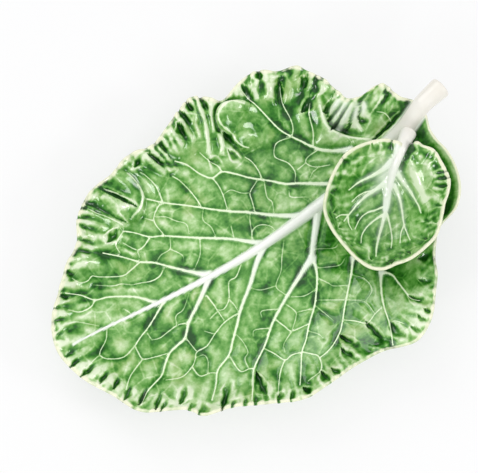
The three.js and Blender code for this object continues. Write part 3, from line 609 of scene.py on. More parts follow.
large_leaf = LeafDish(
    centre=(0.0, 0.0),
    half_sizes=LEAF_HALF_SIZES,
    floor=LEAF_FLOOR,
    floor_height=LEAF_FLOOR_HEIGHT,
    rim_height=LEAF_RIM_HEIGHT,
    rise=LEAF_RIM_RISE,
    high=LEAF_RIM_HIGH,
    steepness=LEAF_STEEPNESS,
    margin=LEAF_MARGIN,
)
small_bowl = LeafDish(
    centre=BOWL_CENTRE,
    half_sizes=(BOWL_RIM_RADIUS, BOWL_RIM_RADIUS),
    floor=(BOWL_FLOOR_RADIUS, BOWL_FLOOR_RADIUS),
    floor_height=BOWL_FLOOR_HEIGHT,
    rim_height=BOWL_FLOOR_HEIGHT + BOWL_DEPTH,
    rise=BOWL_RIM_RISE,
    high=BOWL_RIM_HIGH,
    steepness=BOWL_STEEPNESS,
    margin=BOWL_MARGIN,
)


def leaf_top(x, y):
    return large_leaf.height(x, y) + LEAF_WALL / 2


def bowl_top(x, y):
    return small_bowl.height(x, y) + BOWL_WALL / 2


def disc_places(square):
    """Share of the way to the margin, and bearing, of places on a square whose rings become round."""
    a = square[:, 0]
    b = square[:, 1]
    share = np.maximum(np.abs(a), np.abs(b))
    wide = np.abs(a) >= np.abs(b)
    slope = np.where(wide, b / np.where(a == 0, 1, a), a / np.where(b == 0, 1, b))
    first = np.where(a >= 0, 0, math.pi) + math.pi / 4 * slope
    second = np.where(b >= 0, 0.5, 1.5) * math.pi - math.pi / 4 * slope
    return share, np.where(wide, first, second)


# Relief on a leaf

# Where no vein is near: how many half-widths away one is, and how many millimetres
NO_VEIN = 9.0
CLEAR_BLADE = 99.0
# A vein: how far it is felt, the power by which it narrows, the length of its flare, the spread of
# its round section in half-widths, and the power by which a faint one fades at its ends
VEIN_REACH = 14.0
VEIN_TAPER = 1.2
VEIN_FLARE_LENGTH = 5.0
VEIN_SPREAD = 1.15
VEIN_FADE = 4
# White glaze on a vein: the half-widths between which it comes, its edge in half-widths, and how far it
# bleeds past the vein
WHITE_VEIN_SIZES = (0.8, 2.2)
WHITE_VEIN_EDGE = (1.3, 0.75)
WHITE_BLEED = 1.0
# Distance that is added beside a faint vein, so that it draws the blade in less
FAINT_VEIN_CLEARANCE = 3.0
# A crease: its wobble in widths, with the wobble's size and seed, the share of its width left at its
# ends and the power by which they narrow, the softness of its right and left sides, the share of its
# depth lost along it, where it dies out, and the raised lip beside it in soft half-widths
SLOT_WOBBLE = (0.12, 6, 17)
SLOT_TIP = 0.25
SLOT_TIP_POWER = 0.8
SLOT_SIDES = (1.4, 0.9)
SLOT_SHALLOWING = 0.3
SLOT_DYING = (1.0, 0.45)
SLOT_LIP_PLACE = 1.9
SLOT_LIP_SPREAD = 0.5
SLOT_LIP_HEIGHT = 0.17
# A swollen fold: how far it is felt, how far out it keeps pleats off, and the place and spread of the
# hollow outside its edge and of the overhang inside it
CUSHION_REACH = 12.0
CUSHION_CALM = 7.0
CUSHION_HOLLOW = (2.5, 2.2)
CUSHION_OVERHANG = (1.2, 2.2)
# The powers by which a ridge and a ledge die out at their ends
RIDGE_ENDS = 0.5
LEDGE_ENDS = 0.6
# A ledge: how far out it keeps pleats off, half the width of its step, the place and spread of its
# hollow and of its overhang, and the shares of its length between which the hollow deepens
LEDGE_CALM = 12.0
LEDGE_STEP = 2.0
LEDGE_HOLLOW = (4.0, 3.5)
LEDGE_OVERHANG = (1.5, 2.5)
LEDGE_DEEPENING = (0.1, 0.5)


class Relief:
    """What stands up from the plain surface at a set of places, and the glaze that it gathers.

    line holds the way to the nearest vein, in half-widths of that vein, and how strongly the vein shows.
    clear is the distance from any vein, calm is 1 where no pleat may run, and push moves places in plan.
    swell is the part of the height that is too broad for glaze to run off it.
    """

    def __init__(self, places):
        count = len(places)
        self.places = places
        self.lift = np.zeros(count)
        self.push = np.zeros((count, 2))
        self.line = np.full((count, 3), NO_VEIN)
        self.white = np.zeros(count)
        self.clear = np.full(count, CLEAR_BLADE)
        self.calm = np.zeros(count)
        self.swell = np.zeros(count)

    def whiten(self, near, white):
        self.white[near] = np.maximum(self.white[near], white)

    def keep_calm(self, near, calm):
        self.calm[near] = np.maximum(self.calm[near], calm)

    def vein(self, path, widths, height, flare, strength, bleed=0.0):
        """A rounded vein that tapers along its path, and flares where it leaves its root.

        bleed is how strongly its white glaze runs out over the blade by its root.
        """
        near = near_path(self.places, path, VEIN_REACH)
        beside, along, way = beside_path(self.places[near], path)
        length, _ = path_runs(path)
        width = widths[1] + (widths[0] - widths[1]) * (1 - along) ** VEIN_TAPER
        width = width + flare * np.exp(-along * length / VEIN_FLARE_LENGTH)
        half = width / 2
        distance = np.abs(beside)
        rise = height * half * bell(distance, VEIN_SPREAD * half)
        self.lift[near] = np.maximum(self.lift[near], rise)
        shown = strength * (1 - (1 - strength) * (2 * along - 1) ** VEIN_FADE)
        line = np.column_stack([way / half[:, None], shown])
        nearer = distance / half < np.hypot(self.line[near, 0], self.line[near, 1])
        self.line[near[nearer]] = line[nearer]
        white = smoothstep(*WHITE_VEIN_SIZES, half) * smoothstep(*WHITE_VEIN_EDGE, distance / half)
        self.whiten(near, white)
        self.whiten(near, bleed * (1 - along) * bell(distance, half + WHITE_BLEED))
        clear = np.maximum(distance - half, 0) + FAINT_VEIN_CLEARANCE * (1 - strength)
        self.clear[near] = np.minimum(self.clear[near], clear)

    def crest(self, path, widths, height, strength):
        """A thin pale crest on top of what is there already."""
        below = self.lift.copy()
        self.lift[:] = 0
        self.vein(path, widths, height, 0, strength)
        self.lift += below

    def slot(self, start, end, width, depth):
        """A crease with a steep and a soft side, deepest by its start, that dies out at its end."""
        path = np.array([start, end])
        near = near_path(self.places, path, 3 * width)
        beside, along, _ = beside_path(self.places[near], path)
        wobble = width * waves(self.places[near], *SLOT_WOBBLE)
        half = 0.5 * width * from_low(SLOT_TIP, np.sin(math.pi * along) ** SLOT_TIP_POWER)
        distance = (beside + wobble) / half
        distance = distance / np.where(distance < 0, *SLOT_SIDES)
        fade = (1 - SLOT_SHALLOWING * along) * smoothstep(*SLOT_DYING, along)
        lip = bell(np.abs(distance) - SLOT_LIP_PLACE, SLOT_LIP_SPREAD)
        self.lift[near] += depth * fade * (SLOT_LIP_HEIGHT * lip - bell(distance, 1))

    def ridge(self, path, width, height, white=0.0):
        """A soft ridge that dies out at both its ends, with white glaze along its top if given."""
        near = near_path(self.places, path, 2 * width)
        beside, along, _ = beside_path(self.places[near], path)
        top = dying_ends(along, RIDGE_ENDS) * bell(2 * beside, width)
        self.lift[near] += height * top
        self.whiten(near, white * top)

    def cushion(self, outline, lift, edge, overhang, hollow, fade_from, fade_to):
        """A swelling with a rounded edge in a closed outline, which fades from one place to another."""
        near = near_path(self.places, outline, CUSHION_REACH)
        inside, _, way = beside_path(self.places[near], outline)
        across = fade_to - fade_from
        share = (self.places[near] - fade_from) @ across / (across @ across)
        strength = smoothstep(1, 0, share)
        deep = np.clip(inside / edge, 0, 1)
        self.swell[near] += lift * strength * np.sqrt(1 - (1 - deep) ** 2)
        place, spread = CUSHION_HOLLOW
        self.lift[near] -= hollow * strength * bell(inside + place, spread)
        self.keep_calm(near, strength * smoothstep(-CUSHION_CALM, 0, inside))
        place, spread = CUSHION_OVERHANG
        lean = strength * overhang * bell(inside - place, spread) * (inside > 0)
        outwards = way / np.maximum(np.abs(inside), 1e-6)[:, None]
        self.push[near] += lean[:, None] * outwards

    def ledge(self, path, lift, back, overhang, hollow):
        """A step with a rounded edge, high on the left of its path, that dies out at both ends.

        The hollow on its right is deepest in the second half of the path.
        """
        near = near_path(self.places, path, 3 * back)
        beside, along, _ = beside_path(self.places[near], path)
        ends = dying_ends(along, LEDGE_ENDS)
        high = bell(np.maximum(beside, 0), back) * smoothstep(-LEDGE_STEP, LEDGE_STEP, beside)
        self.swell[near] += ends * lift * high
        place, spread = LEDGE_HOLLOW
        low = bell(beside + place, spread) * smoothstep(*LEDGE_DEEPENING, along)
        self.lift[near] -= ends * hollow * low
        self.keep_calm(near, ends * bell(beside, LEDGE_CALM))
        number = np.clip((along * (len(path) - 1)).astype(int), 0, len(path) - 2)
        step = np.diff(path, axis=0)[number]
        step = step / np.linalg.norm(step, axis=1)[:, None]
        outwards = np.stack([step[:, 1], -step[:, 0]], axis=1)
        place, spread = LEDGE_OVERHANG
        lean = ends * overhang * bell(beside - place, spread)
        self.push[near] += lean[:, None] * outwards


# Glaze on a leaf

GLAZE_READINGS = ("pool_and_shade", "near", "beside", "white", "rim")
# Windows, in steps of the grid, that find fine and broad hollows
FINE_WINDOW = 2
BROAD_WINDOW = 5
# How slowly a hollow fills, the distances between which a vein's line shows, and the reach of the
# dark beside it
POOL_EASE = 0.5
LINE_EDGE = (3.0, 1.6)
BESIDE_VEIN = 2.4


def grid_blur(values, count, reach):
    """Mean over a square window on the grid."""
    field = values.reshape(count + 1, count + 1)
    window = 2 * reach + 1
    for axis in (0, 1):
        margins = [(reach + 1, reach) if side == axis else (0, 0) for side in (0, 1)]
        total = np.cumsum(np.pad(field, margins, mode="edge"), axis=axis)
        ahead = np.take(total, range(window, total.shape[axis]), axis=axis)
        behind = np.take(total, range(0, total.shape[axis] - window), axis=axis)
        field = (ahead - behind) / window
    return field.ravel()


def glaze_of(relief, count, rim, fine_gain, broad_gain):
    """Readings for the glaze: it pools and darkens in hollows, also as painted shade in deep pits, runs
    thin on ridges and leaves veins and rims pale.
    """
    fine = grid_blur(relief.lift, count, FINE_WINDOW) - relief.lift
    broad = grid_blur(relief.lift, count, BROAD_WINDOW) - relief.lift
    hollow = fine_gain * fine + broad_gain * broad
    return {
        "pool_and_shade": np.where(hollow > 0, np.tanh(POOL_EASE * hollow), np.tanh(hollow)),
        "line": np.clip(relief.line, -NO_VEIN, NO_VEIN),
        "near": smoothstep(*LINE_EDGE, relief.clear),
        "beside": bell(relief.clear, BESIDE_VEIN),
        "white": np.clip(relief.white, 0, 1),
        "rim": rim,
    }


def painted_shade_spots(plan, spots, top):
    """Painted shade at places in plan from broad spots on a surface, and painted light where a spot is
    negative.
    """
    total = np.zeros(len(plan))
    for pixel, radius, strength in spots:
        total += strength * bell(np.linalg.norm(plan - cast([pixel], top)[0], axis=1), radius)
    return total


# Putting meshes into the frame

# How far the lip turns over, the band at the margin in which the wall thins to it, and the shares of
# its turn between which the pale rim ends
LIP_TURN = 0.75 * math.pi
LIP_BAND = 14.0
LIP_PALE = (1, 0.7)
# Height that parts the two grids of a leaf while they are flat, and the share at which their outer
# rings lie
BETWEEN_GRIDS = -0.5
OUTER_RING = 0.9999


def into_frame(points):
    return points * MM + DATUM


def finish_piece(bm, name, material, node):
    """Makes an object of a mesh in the frame, riding on the one body, in place of its CAD node."""
    for face in bm.faces:
        face.smooth = True
    mesh = bpy.data.meshes.new(name)
    bm.to_mesh(mesh)
    bm.free()
    mesh.materials.append(material)
    piece = bpy.data.objects.new(name, mesh)
    bpy.context.scene.collection.objects.link(piece)
    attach(piece, "root")
    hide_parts(node)


def in_turn(numbers, bearing):
    """Numbers of places, in the order of their bearings."""
    return numbers[np.argsort(np.mod(bearing[numbers], 2 * math.pi))]


def leaf_skin(dish, count, wall, lip, shape, folds):
    """A closed leaf: a fine grid for its top and rounded lip, and a coarser one for its underside.

    shape gives the relief and glaze of the top, and folds the lift of the underside, each from places in
    plan, their bearings and how far in from the margin they lie.
    """
    bm = bmesh.new()
    layers = {key: bm.verts.layers.float.new(key) for key in GLAZE_READINGS}
    layers["line"] = bm.verts.layers.float_vector.new("line")
    bmesh.ops.create_grid(bm, x_segments=count, y_segments=count, size=1)
    coarse = bmesh.ops.create_grid(bm, x_segments=count // 2, y_segments=count // 2, size=1)["verts"]
    bmesh.ops.translate(bm, verts=coarse, vec=(0, 0, 2 * BETWEEN_GRIDS))
    under_faces = [face for face in bm.faces if face.verts[0].co.z < BETWEEN_GRIDS]
    bmesh.ops.reverse_faces(bm, faces=under_faces)
    border = [edge for edge in bm.edges if edge.is_boundary and edge.verts[0].co.z < BETWEEN_GRIDS]
    bmesh.ops.subdivide_edges(bm, edges=border, cuts=1)
    tops = [vert for vert in bm.verts if vert.co.z > BETWEEN_GRIDS]
    unders = [vert for vert in bm.verts if vert.co.z < BETWEEN_GRIDS]

    # The outermost rings of the top turn over the lip, down to the underside.
    share, bearing = disc_places(np.array([vert.co[:2] for vert in tops], float))
    ring = share * count / 2
    last = count / 2 - LIP_RINGS
    reach, _ = dish.edge(bearing)
    turned = np.clip((ring - last) / LIP_RINGS, 0, 1)
    over = turned * LIP_TURN
    out = (reach - lip) * np.minimum(ring / last, 1)
    outwards = np.column_stack([np.cos(bearing), np.sin(bearing)])
    plan = np.array(dish.centre) + out[:, None] * outwards
    relief, glaze = shape(plan, bearing, reach - out)
    glaze["rim"] = glaze["rim"] * smoothstep(*LIP_PALE, turned)
    top = dish.height(plan[:, 0], plan[:, 1]) + wall / 2 + relief.lift + relief.swell
    top -= np.clip(1 - (reach - out) / LIP_BAND, 0, 1) ** 2 * (wall / 2 - lip)
    top += lip * (np.cos(over) - 1)
    places = np.column_stack([plan + relief.push + (lip * np.sin(over))[:, None] * outwards, top])

    # The underside follows the folds, and closes on the lip's lower edge.
    under_share, under_bearing = disc_places(np.array([vert.co[:2] for vert in unders], float))
    under_reach, _ = dish.edge(under_bearing)
    out = (under_reach - lip + lip * math.sin(LIP_TURN)) * under_share
    x = dish.centre[0] + out * np.cos(under_bearing)
    y = dish.centre[1] + out * np.sin(under_bearing)
    lift = folds(np.column_stack([x, y]), under_bearing, under_reach - out)
    below = np.column_stack([x, y, dish.height(x, y) - wall / 2 + lift])
    edge = in_turn(np.flatnonzero(share > OUTER_RING), bearing)
    below[in_turn(np.flatnonzero(under_share > OUTER_RING), under_bearing)] = places[edge]

    for number, (vert, place) in enumerate(zip(tops, into_frame(places))):
        vert.co = place
        for key, values in glaze.items():
            vert[layers[key]] = values[number]
    for vert, place in zip(unders, into_frame(below)):
        vert.co = place
        vert[layers["line"]] = (NO_VEIN, NO_VEIN, 0.0)
    bmesh.ops.remove_doubles(bm, verts=bm.verts, dist=LEAF_SEAM)
    return bm


# Large leaf

# Pleats: the angle between two valleys, in radians, at which a pleat is full, its least and most
# strength, its height, the distances in from the margin between which it comes or goes, and its shares
# right at the margin and on the less ruffled half
PLEAT_GAP = 0.09
PLEAT_STRENGTHS = (0.2, 1.3)
PLEAT_HEIGHT = 1.3
PLEATS_IN = (30, 6)
PLEATS_OUT = (0, 5)
PLEATS_EDGE_SHARE = 0.55
PLEATS_LOWER_SHARE = 0.35
# How much longer and narrower a pit is than given, as shares
PIT_LONGER = 0.15
PIT_NARROWER = 0.85
# How far back a vein looks for the midrib, in how many steps, how near it has to come, and how many
# steps short of the midrib's middle it starts
ROOT_REACH = 16.0
ROOT_STEPS = 32
ROOT_GAP = 3.0
ROOT_SHORT = 3
# Degrees over which the smooth side begins, how sharply the ruffled half does, and the share of the
# folds that shows on the underside
SMOOTH_SIDE_FADE = 4
RUFFLED_EDGE = (-0.5, 0.5)
UNDERSIDE_SHARE = 0.8
# Veins: height over half the width, flare as a share of the width, and the most flare
LEAF_VEIN_HEIGHT = 0.75
LEAF_VEIN_FLARE = 0.9
LEAF_VEIN_MOST_FLARE = 2.6
# Swelling between veins, with the distance over which it comes, and its waves: height, size and seed
BLADE_SWELL = 0.9
BLADE_SWELL_REACH = 5
BLADE_WAVES = (0.3, 15, 3)
BLADE_WAVES_START = (0, 4)
# Midrib: how far it is felt, and depth of its groove, in millimetres, and in its widths the spread of
# the groove, height and spread of its fillet, and edge of its white glaze
MIDRIB_REACH = 25
MIDRIB_GROOVE = (0.35, 1.1)
MIDRIB_FILLET = (0.3, 0.62)
MIDRIB_WHITE = (0.66, 0.48)
# Crinkles: height, fewest and most in a turn, slant and seed, then the fine ones as waves, the
# distances in from the margin between which each comes or goes, and their share on the less ruffled
# half
LEAF_CRINKLES = (0.45, 60, 150, 0.3, 8)
LEAF_CRINKLES_IN = (22, 6)
LEAF_CRINKLES_OUT = (1, 5)
FINE_CRINKLES = (0.4, 5.5, 21)
FINE_CRINKLES_IN = (17, 6)
CRINKLES_LOWER_SHARE = 0.6
# Pale rim: the distances in from the margin between which it goes, how much wider it is where it is
# ruffled, and the same distances and the strength on the smooth side
LEAF_PALE_RIM = (4.4, 0.5)
LEAF_PALE_RUFFLES = 1.6
SMOOTH_PALE_RIM = (3.6, 1.8)
SMOOTH_PALE_STRENGTH = 0.9
# Pooling: how much fine and broad hollows count, and the broad ones near the margin besides
LEAF_FINE_GAIN = 1.4
LEAF_BROAD_GAIN = 0.35
MARGIN_BROAD_GAIN = 0.5
MARGIN_BROAD_BAND = (45, 25)
# Painted shade behind the bowl, in a band along the margin, and painted shade with pooled glaze round the
# bowl, and how much less thin the glaze runs on ridges of the less ruffled half
BEHIND_BOWL_SHADE = 1.1
BEHIND_BOWL_OUT = (3, 6.5)
BEHIND_BOWL_IN = (45, 30)
ROUND_BOWL_SHADE = 0.1
ROUND_BOWL_REACH = (62, 48)
LOWER_HALF_THICKER = 0.3


def pleats(bearing, valleys):
    """A wave round the margin, lowest in each valley and high half-way, weaker where valleys crowd."""
    ends = np.sort(np.mod(valleys, 2 * math.pi))
    ends = np.concatenate([[ends[-1] - 2 * math.pi], ends, [ends[0] + 2 * math.pi]])
    wanted = np.mod(bearing, 2 * math.pi)
    after = np.clip(np.searchsorted(ends, wanted, side="right"), 1, len(ends) - 1)
    gap = np.maximum(ends[after] - ends[after - 1], 1e-6)
    share = (wanted - ends[after - 1]) / gap
    return -np.cos(2 * math.pi * share) * np.clip(gap / PLEAT_GAP, *PLEAT_STRENGTHS)


def stalk_stations():
    """Plan and width of the large stalk."""
    path = np.array(STALK_PATH, float)
    path[:, 0] *= LEAF_HALF_SIZES[0] / 100
    path[:, 1] *= LEAF_HALF_SIZES[1] / 100
    return smooth_path(path, STALK_SAMPLES)


def from_midrib(path, midrib):
    """A vein's path, led back in a straight line to just short of the midrib's middle."""
    back = path[0] - path[1]
    tries = path[0] + np.linspace(0, ROOT_REACH, ROOT_STEPS + 1)[:, None] * back / np.linalg.norm(back)
    gaps = np.linalg.norm(tries[:, None] - midrib[None], axis=2).min(1)
    nearest = gaps.argmin()
    if gaps[nearest] > ROOT_GAP or nearest <= ROOT_SHORT:
        return path
    return np.concatenate([tries[nearest - ROOT_SHORT][None], path])


def smooth_side(bearing):
    """1 on the side of the leaf that stays smooth, and 0 elsewhere."""
    turned = np.degrees(np.arctan2(np.sin(bearing), np.cos(bearing)))
    first, last = LEAF_SMOOTH_SIDE
    begins = smoothstep(first - SMOOTH_SIDE_FADE, first, turned)
    return begins * smoothstep(last + SMOOTH_SIDE_FADE, last, turned)


def upper_side(bearing):
    """1 on the half of the margin that is the most ruffled, and 0 on the other half."""
    return smoothstep(*RUFFLED_EDGE, np.cos(bearing - LEAF_RUFFLED))


def fold_large_leaf(relief, bearing, inset):
    """Adds the folds, then pleats and pits where the folds leave room."""
    for pixels, lift, back, overhang, hollow in LEAF_LEDGES:
        relief.ledge(path_on(pixels, leaf_top), lift, back, overhang, hollow)
    for pixels, lift, edge, overhang, hollow, *fade in LEAF_CUSHIONS:
        outline = path_on(pixels + pixels[:1], leaf_top)
        relief.cushion(outline, lift, edge, overhang, hollow, *cast(fade, leaf_top))
    relief.calm = np.maximum(relief.calm, smooth_side(bearing))

    # The pleats have their valleys at the pits, and are strongest a little way in from the upper margin.
    pits = [(cast(ends, leaf_top), width, depth) for *ends, width, depth in LEAF_SLOTS]
    valleys = np.array([math.atan2(*ends.mean(0)[::-1]) for ends, _, _ in pits])
    strength = smoothstep(*PLEATS_IN, inset) * from_low(PLEATS_EDGE_SHARE, smoothstep(*PLEATS_OUT, inset))
    strength = strength * from_low(PLEATS_LOWER_SHARE, upper_side(bearing))
    relief.lift += PLEAT_HEIGHT * pleats(bearing, valleys) * strength * (1 - relief.calm)
    for pixels, width, height in LEAF_RIDGES:
        relief.ridge(path_on(pixels, leaf_top), width, height)
    for (start, end), width, depth in pits:
        longer = PIT_LONGER * (end - start)
        relief.slot(start - longer, end + longer, PIT_NARROWER * width, depth)


def large_leaf_underside(plan, bearing, inset):
    relief = Relief(plan)
    fold_large_leaf(relief, bearing, inset)
    return UNDERSIDE_SHARE * (relief.lift + relief.swell)


def raise_midrib(relief, stations):
    """Sets the midrib on a low fillet in a shallow groove, with white glaze that runs onto the blade."""
    path = stations[:, :2]
    near = near_path(relief.places, path, MIDRIB_REACH)
    beside, along, _ = beside_path(relief.places[near], path)
    _, runs = path_runs(path)
    width = np.interp(along, runs, stations[:, 2])
    distance = np.abs(beside) / width
    depth, spread = MIDRIB_GROOVE
    groove = depth * bell(distance, spread)
    height, spread = MIDRIB_FILLET
    fillet = height * width * bell(distance, spread)
    relief.lift[near] = np.maximum(relief.lift[near] - groove, fillet)
    relief.whiten(near, smoothstep(*MIDRIB_WHITE, distance))


def shape_large_leaf(plan, bearing, inset):
    relief = Relief(plan)
    stations = stalk_stations()
    for widths, pixels in LEAF_VEINS:
        path = from_midrib(path_on(pixels, leaf_top), stations[:, :2])
        flare = min(LEAF_VEIN_FLARE * widths[0], LEAF_VEIN_MOST_FLARE)
        relief.vein(path, widths, LEAF_VEIN_HEIGHT, flare, strength=1.0)
    for form, lines in ((LEAF_BRANCH_FORM, LEAF_BRANCHES), (LEAF_NET_FORM, LEAF_NET)):
        for pixels in lines:
            relief.vein(path_on(pixels, leaf_top), *form)

    # The blade swells between its veins.
    relief.lift += BLADE_SWELL * (1 - bell(relief.clear, BLADE_SWELL_REACH))
    relief.lift += waves(plan, *BLADE_WAVES) * smoothstep(*BLADE_WAVES_START, relief.clear)
    raise_midrib(relief, stations)

    # Folds, then fine crinkles where they leave room, and the pale crests along the folds' edges.
    fold_large_leaf(relief, bearing, inset)
    upper = upper_side(bearing)
    crinkle = crinkles(bearing, inset, *LEAF_CRINKLES)
    crinkle *= smoothstep(*LEAF_CRINKLES_IN, inset) * smoothstep(*LEAF_CRINKLES_OUT, inset)
    crinkle += waves(plan, *FINE_CRINKLES) * smoothstep(*FINE_CRINKLES_IN, inset)
    relief.lift += crinkle * (1 - relief.calm) * from_low(CRINKLES_LOWER_SHARE, upper)
    for pixels in LEAF_RIBS:
        relief.ridge(path_on(pixels, leaf_top), LEAF_RIB_WIDTH, LEAF_RIB_HEIGHT, LEAF_RIB_WHITE)
    for width, pixels in LEAF_CRESTS:
        widths = (width, LEAF_CREST_TAPER * width)
        relief.crest(path_on(pixels, leaf_top), widths, LEAF_CREST_HEIGHT, LEAF_CREST_STRENGTH)

    # The pale rim is widest where it is ruffled, and broad hollows count for more near the margin.
    side = smooth_side(bearing)
    ends, begins = LEAF_PALE_RIM
    rim = smoothstep(ends + LEAF_PALE_RUFFLES * upper, begins, inset) * (1 - side)
    rim += SMOOTH_PALE_STRENGTH * smoothstep(*SMOOTH_PALE_RIM, inset) * side
    broad_gain = LEAF_BROAD_GAIN + MARGIN_BROAD_GAIN * smoothstep(*MARGIN_BROAD_BAND, inset)
    glaze = glaze_of(relief, LEAF_GRID, rim, LEAF_FINE_GAIN, broad_gain)

    # Painted shade behind the bowl and round it, where glaze also pools, and broad spots of painted shade
    # and light; the glaze runs less thin on the lower half.
    from_bowl = np.hypot(plan[:, 0] - BOWL_CENTRE[0], plan[:, 1] - BOWL_CENTRE[1])
    band = smoothstep(*BEHIND_BOWL_OUT, inset) * smoothstep(*BEHIND_BOWL_IN, inset)
    behind = BEHIND_BOWL_SHADE * side * band
    gap = np.maximum(behind, ROUND_BOWL_SHADE * smoothstep(*ROUND_BOWL_REACH, from_bowl))
    thin = np.minimum(glaze["pool_and_shade"], 0) * (1 - upper)
    pool_and_shade = glaze["pool_and_shade"] + gap + painted_shade_spots(plan, LEAF_SHADE_SPOTS, leaf_top) - LOWER_HALF_THICKER * thin
    glaze["pool_and_shade"] = np.clip(pool_and_shade, -1, 1)
    return relief, glaze


# Small leaf bowl

# Veins: height over half the width, flare as a share of the width, and how strongly white glaze bleeds
# from the widest, with the widths between which it begins to
BOWL_VEIN_HEIGHT = 0.7
BOWL_VEIN_FLARE = 0.5
BOWL_VEIN_BLEED = 0.75
BOWL_BLEED_WIDTHS = (1.2, 3.0)
# Swelling between veins, with the distance over which it comes, and its waves: height, size and seed
BOWL_SWELL = 0.5
BOWL_SWELL_REACH = 4
BOWL_WAVES = (0.2, 8, 5)
# Bed of the stalk: how far it is felt, how much narrower it is on the right, and in widths the height
# and spread of its fillet and the edge of its white glaze
STALK_BED_REACH = 14
STALK_BED_RIGHT = 1.5
STALK_BED_FILLET = (0.3, 0.75)
STALK_BED_WHITE = (0.8, 0.45)
BOWL_WEB_STRENGTH = 0.8
# Puckers as waves, fine in patches and broad, and the distances in from the rim between which they come
# and go
FINE_PUCKERS = (0.3, 4.5, 12)
BROAD_PUCKERS = (0.4, 9, 14)
PUCKER_PATCHES = (1, 22, 31)
PUCKER_PATCH_EDGE = (-0.8, 0.9)
PUCKERS_IN = (17, 8)
PUCKERS_OUT = (1.5, 4)
# Spread of the painted shade in the gap by the stalk, edge of the pale rim, and how much fine and broad
# hollows count
BOWL_SHADE_GAP_SPREAD = 2.6
BOWL_PALE_RIM = (3.9, 1.9)
BOWL_FINE_GAIN = 2.2
BOWL_BROAD_GAIN = 1.2
# Dark ring below the rim: strength, distance in and spread, then how much thicker the glaze lies on the
# wall than on the floor, between which distances, and how much thinner it lies all over
DARK_RING = 0.5
DARK_RING_PLACE = 5.5
DARK_RING_SPREAD = 2
BOWL_WALL_THICKER = 0.35
BOWL_WALL_BAND = (20, 7)
BOWL_THINNER = 0.3


def small_bowl_underside(plan, bearing, inset):
    """The bowl is plain below."""
    return np.zeros(len(plan))


def bed_small_stalk(relief):
    """Sets the bowl's stalk on a fillet, wider on its left, with white glaze that runs onto the bowl."""
    path = small_stalk_stations()
    near = near_path(relief.places, path[:, :2], STALK_BED_REACH)
    beside, along, _ = beside_path(relief.places[near], path[:, :2])
    width = np.interp(along, np.linspace(0, 1, len(path)), path[:, 2])
    distance = np.where(beside > 0, 1, STALK_BED_RIGHT) * np.abs(beside) / width
    height, spread = STALK_BED_FILLET
    relief.lift[near] = np.maximum(relief.lift[near], height * width * bell(distance, spread))
    relief.whiten(near, smoothstep(*STALK_BED_WHITE, distance))


def shape_small_bowl(plan, bearing, inset):
    relief = Relief(plan)
    for widths, pixels in BOWL_VEINS:
        bleed = BOWL_VEIN_BLEED * smoothstep(*BOWL_BLEED_WIDTHS, widths[0])
        flare = BOWL_VEIN_FLARE * widths[0]
        relief.vein(path_on(pixels, bowl_top), widths, BOWL_VEIN_HEIGHT, flare, strength=1.0, bleed=bleed)
    relief.lift += BOWL_SWELL * (1 - bell(relief.clear, BOWL_SWELL_REACH))
    relief.lift += waves(plan, *BOWL_WAVES)
    bed_small_stalk(relief)
    web, web_reach = BOWL_WEB
    from_web = np.linalg.norm(plan - cast([web], bowl_top)[0], axis=1)
    relief.white = np.maximum(relief.white, BOWL_WEB_STRENGTH * bell(from_web, web_reach))

    # Folds, puckers near the rim, and creases
    for pixels, width, height in BOWL_RIDGES:
        relief.ridge(path_on(pixels, bowl_top), width, height)
    band = smoothstep(*PUCKERS_IN, inset) * smoothstep(*PUCKERS_OUT, inset)
    patchy = smoothstep(*PUCKER_PATCH_EDGE, waves(plan, *PUCKER_PATCHES))
    relief.lift += waves(plan, *FINE_PUCKERS) * band * patchy
    relief.lift += waves(plan, *BROAD_PUCKERS) * band
    for *ends, width, depth in BOWL_SLOTS:
        relief.slot(*cast(ends, bowl_top), width, depth)

    # Painted shade darkens the gap by the stalk and keeps the pale rim off it; the colour is also darker
    # in a ring below the rim, and the glaze thins towards the middle.
    beside, _, _ = beside_path(plan, path_on(BOWL_SHADE_GAP, bowl_top))
    gap = bell(beside, BOWL_SHADE_GAP_SPREAD)
    rim = smoothstep(*BOWL_PALE_RIM, inset) * (1 - gap)
    glaze = glaze_of(relief, BOWL_GRID, rim, BOWL_FINE_GAIN, BOWL_BROAD_GAIN)
    ring = DARK_RING * bell(inset - DARK_RING_PLACE, DARK_RING_SPREAD)
    wall = BOWL_WALL_THICKER * smoothstep(*BOWL_WALL_BAND, inset)
    dark = np.maximum(ring + wall - BOWL_THINNER, gap)
    glaze["pool_and_shade"] = np.clip(glaze["pool_and_shade"] + dark + painted_shade_spots(plan, BOWL_SHADE_SPOTS, bowl_top), -1, 1)
    return relief, glaze


# Stalks

# How deep the bowl's stalk lies in the bowl at its thin end and how far it comes out, in half its
# heights, and between which shares of its length
SMALL_STALK_SUNK = 0.7
SMALL_STALK_EMERGES = 1.2
SMALL_STALK_EMERGES_AT = (0, 0.5)
# Depth of the fine ribs along a stalk, as a share of its thickness, and how far they wander
STALK_RIB_DEPTH = 0.012
STALK_RIB_WANDER = 0.7
# The rounded edge of an end, in degrees, the shares of its flat face, and how far that face bulges
END_TURNS = (15, 30, 45, 60, 75)
END_RINGS = (1, 0.66, 0.33, 0)
END_BULGE = 0.5


def small_stalk_stations():
    """Plan and width of the bowl's stalk."""
    path = np.array(SMALL_STALK_PATH, float)
    path[:, 0] = BOWL_CENTRE[0] + path[:, 0] * BOWL_RIM_RADIUS / 100
    path[:, 1] = BOWL_CENTRE[1] + path[:, 1] * BOWL_RIM_RADIUS / 100
    return smooth_path(np.concatenate([path, [SMALL_STALK_END]]), STALK_SAMPLES)


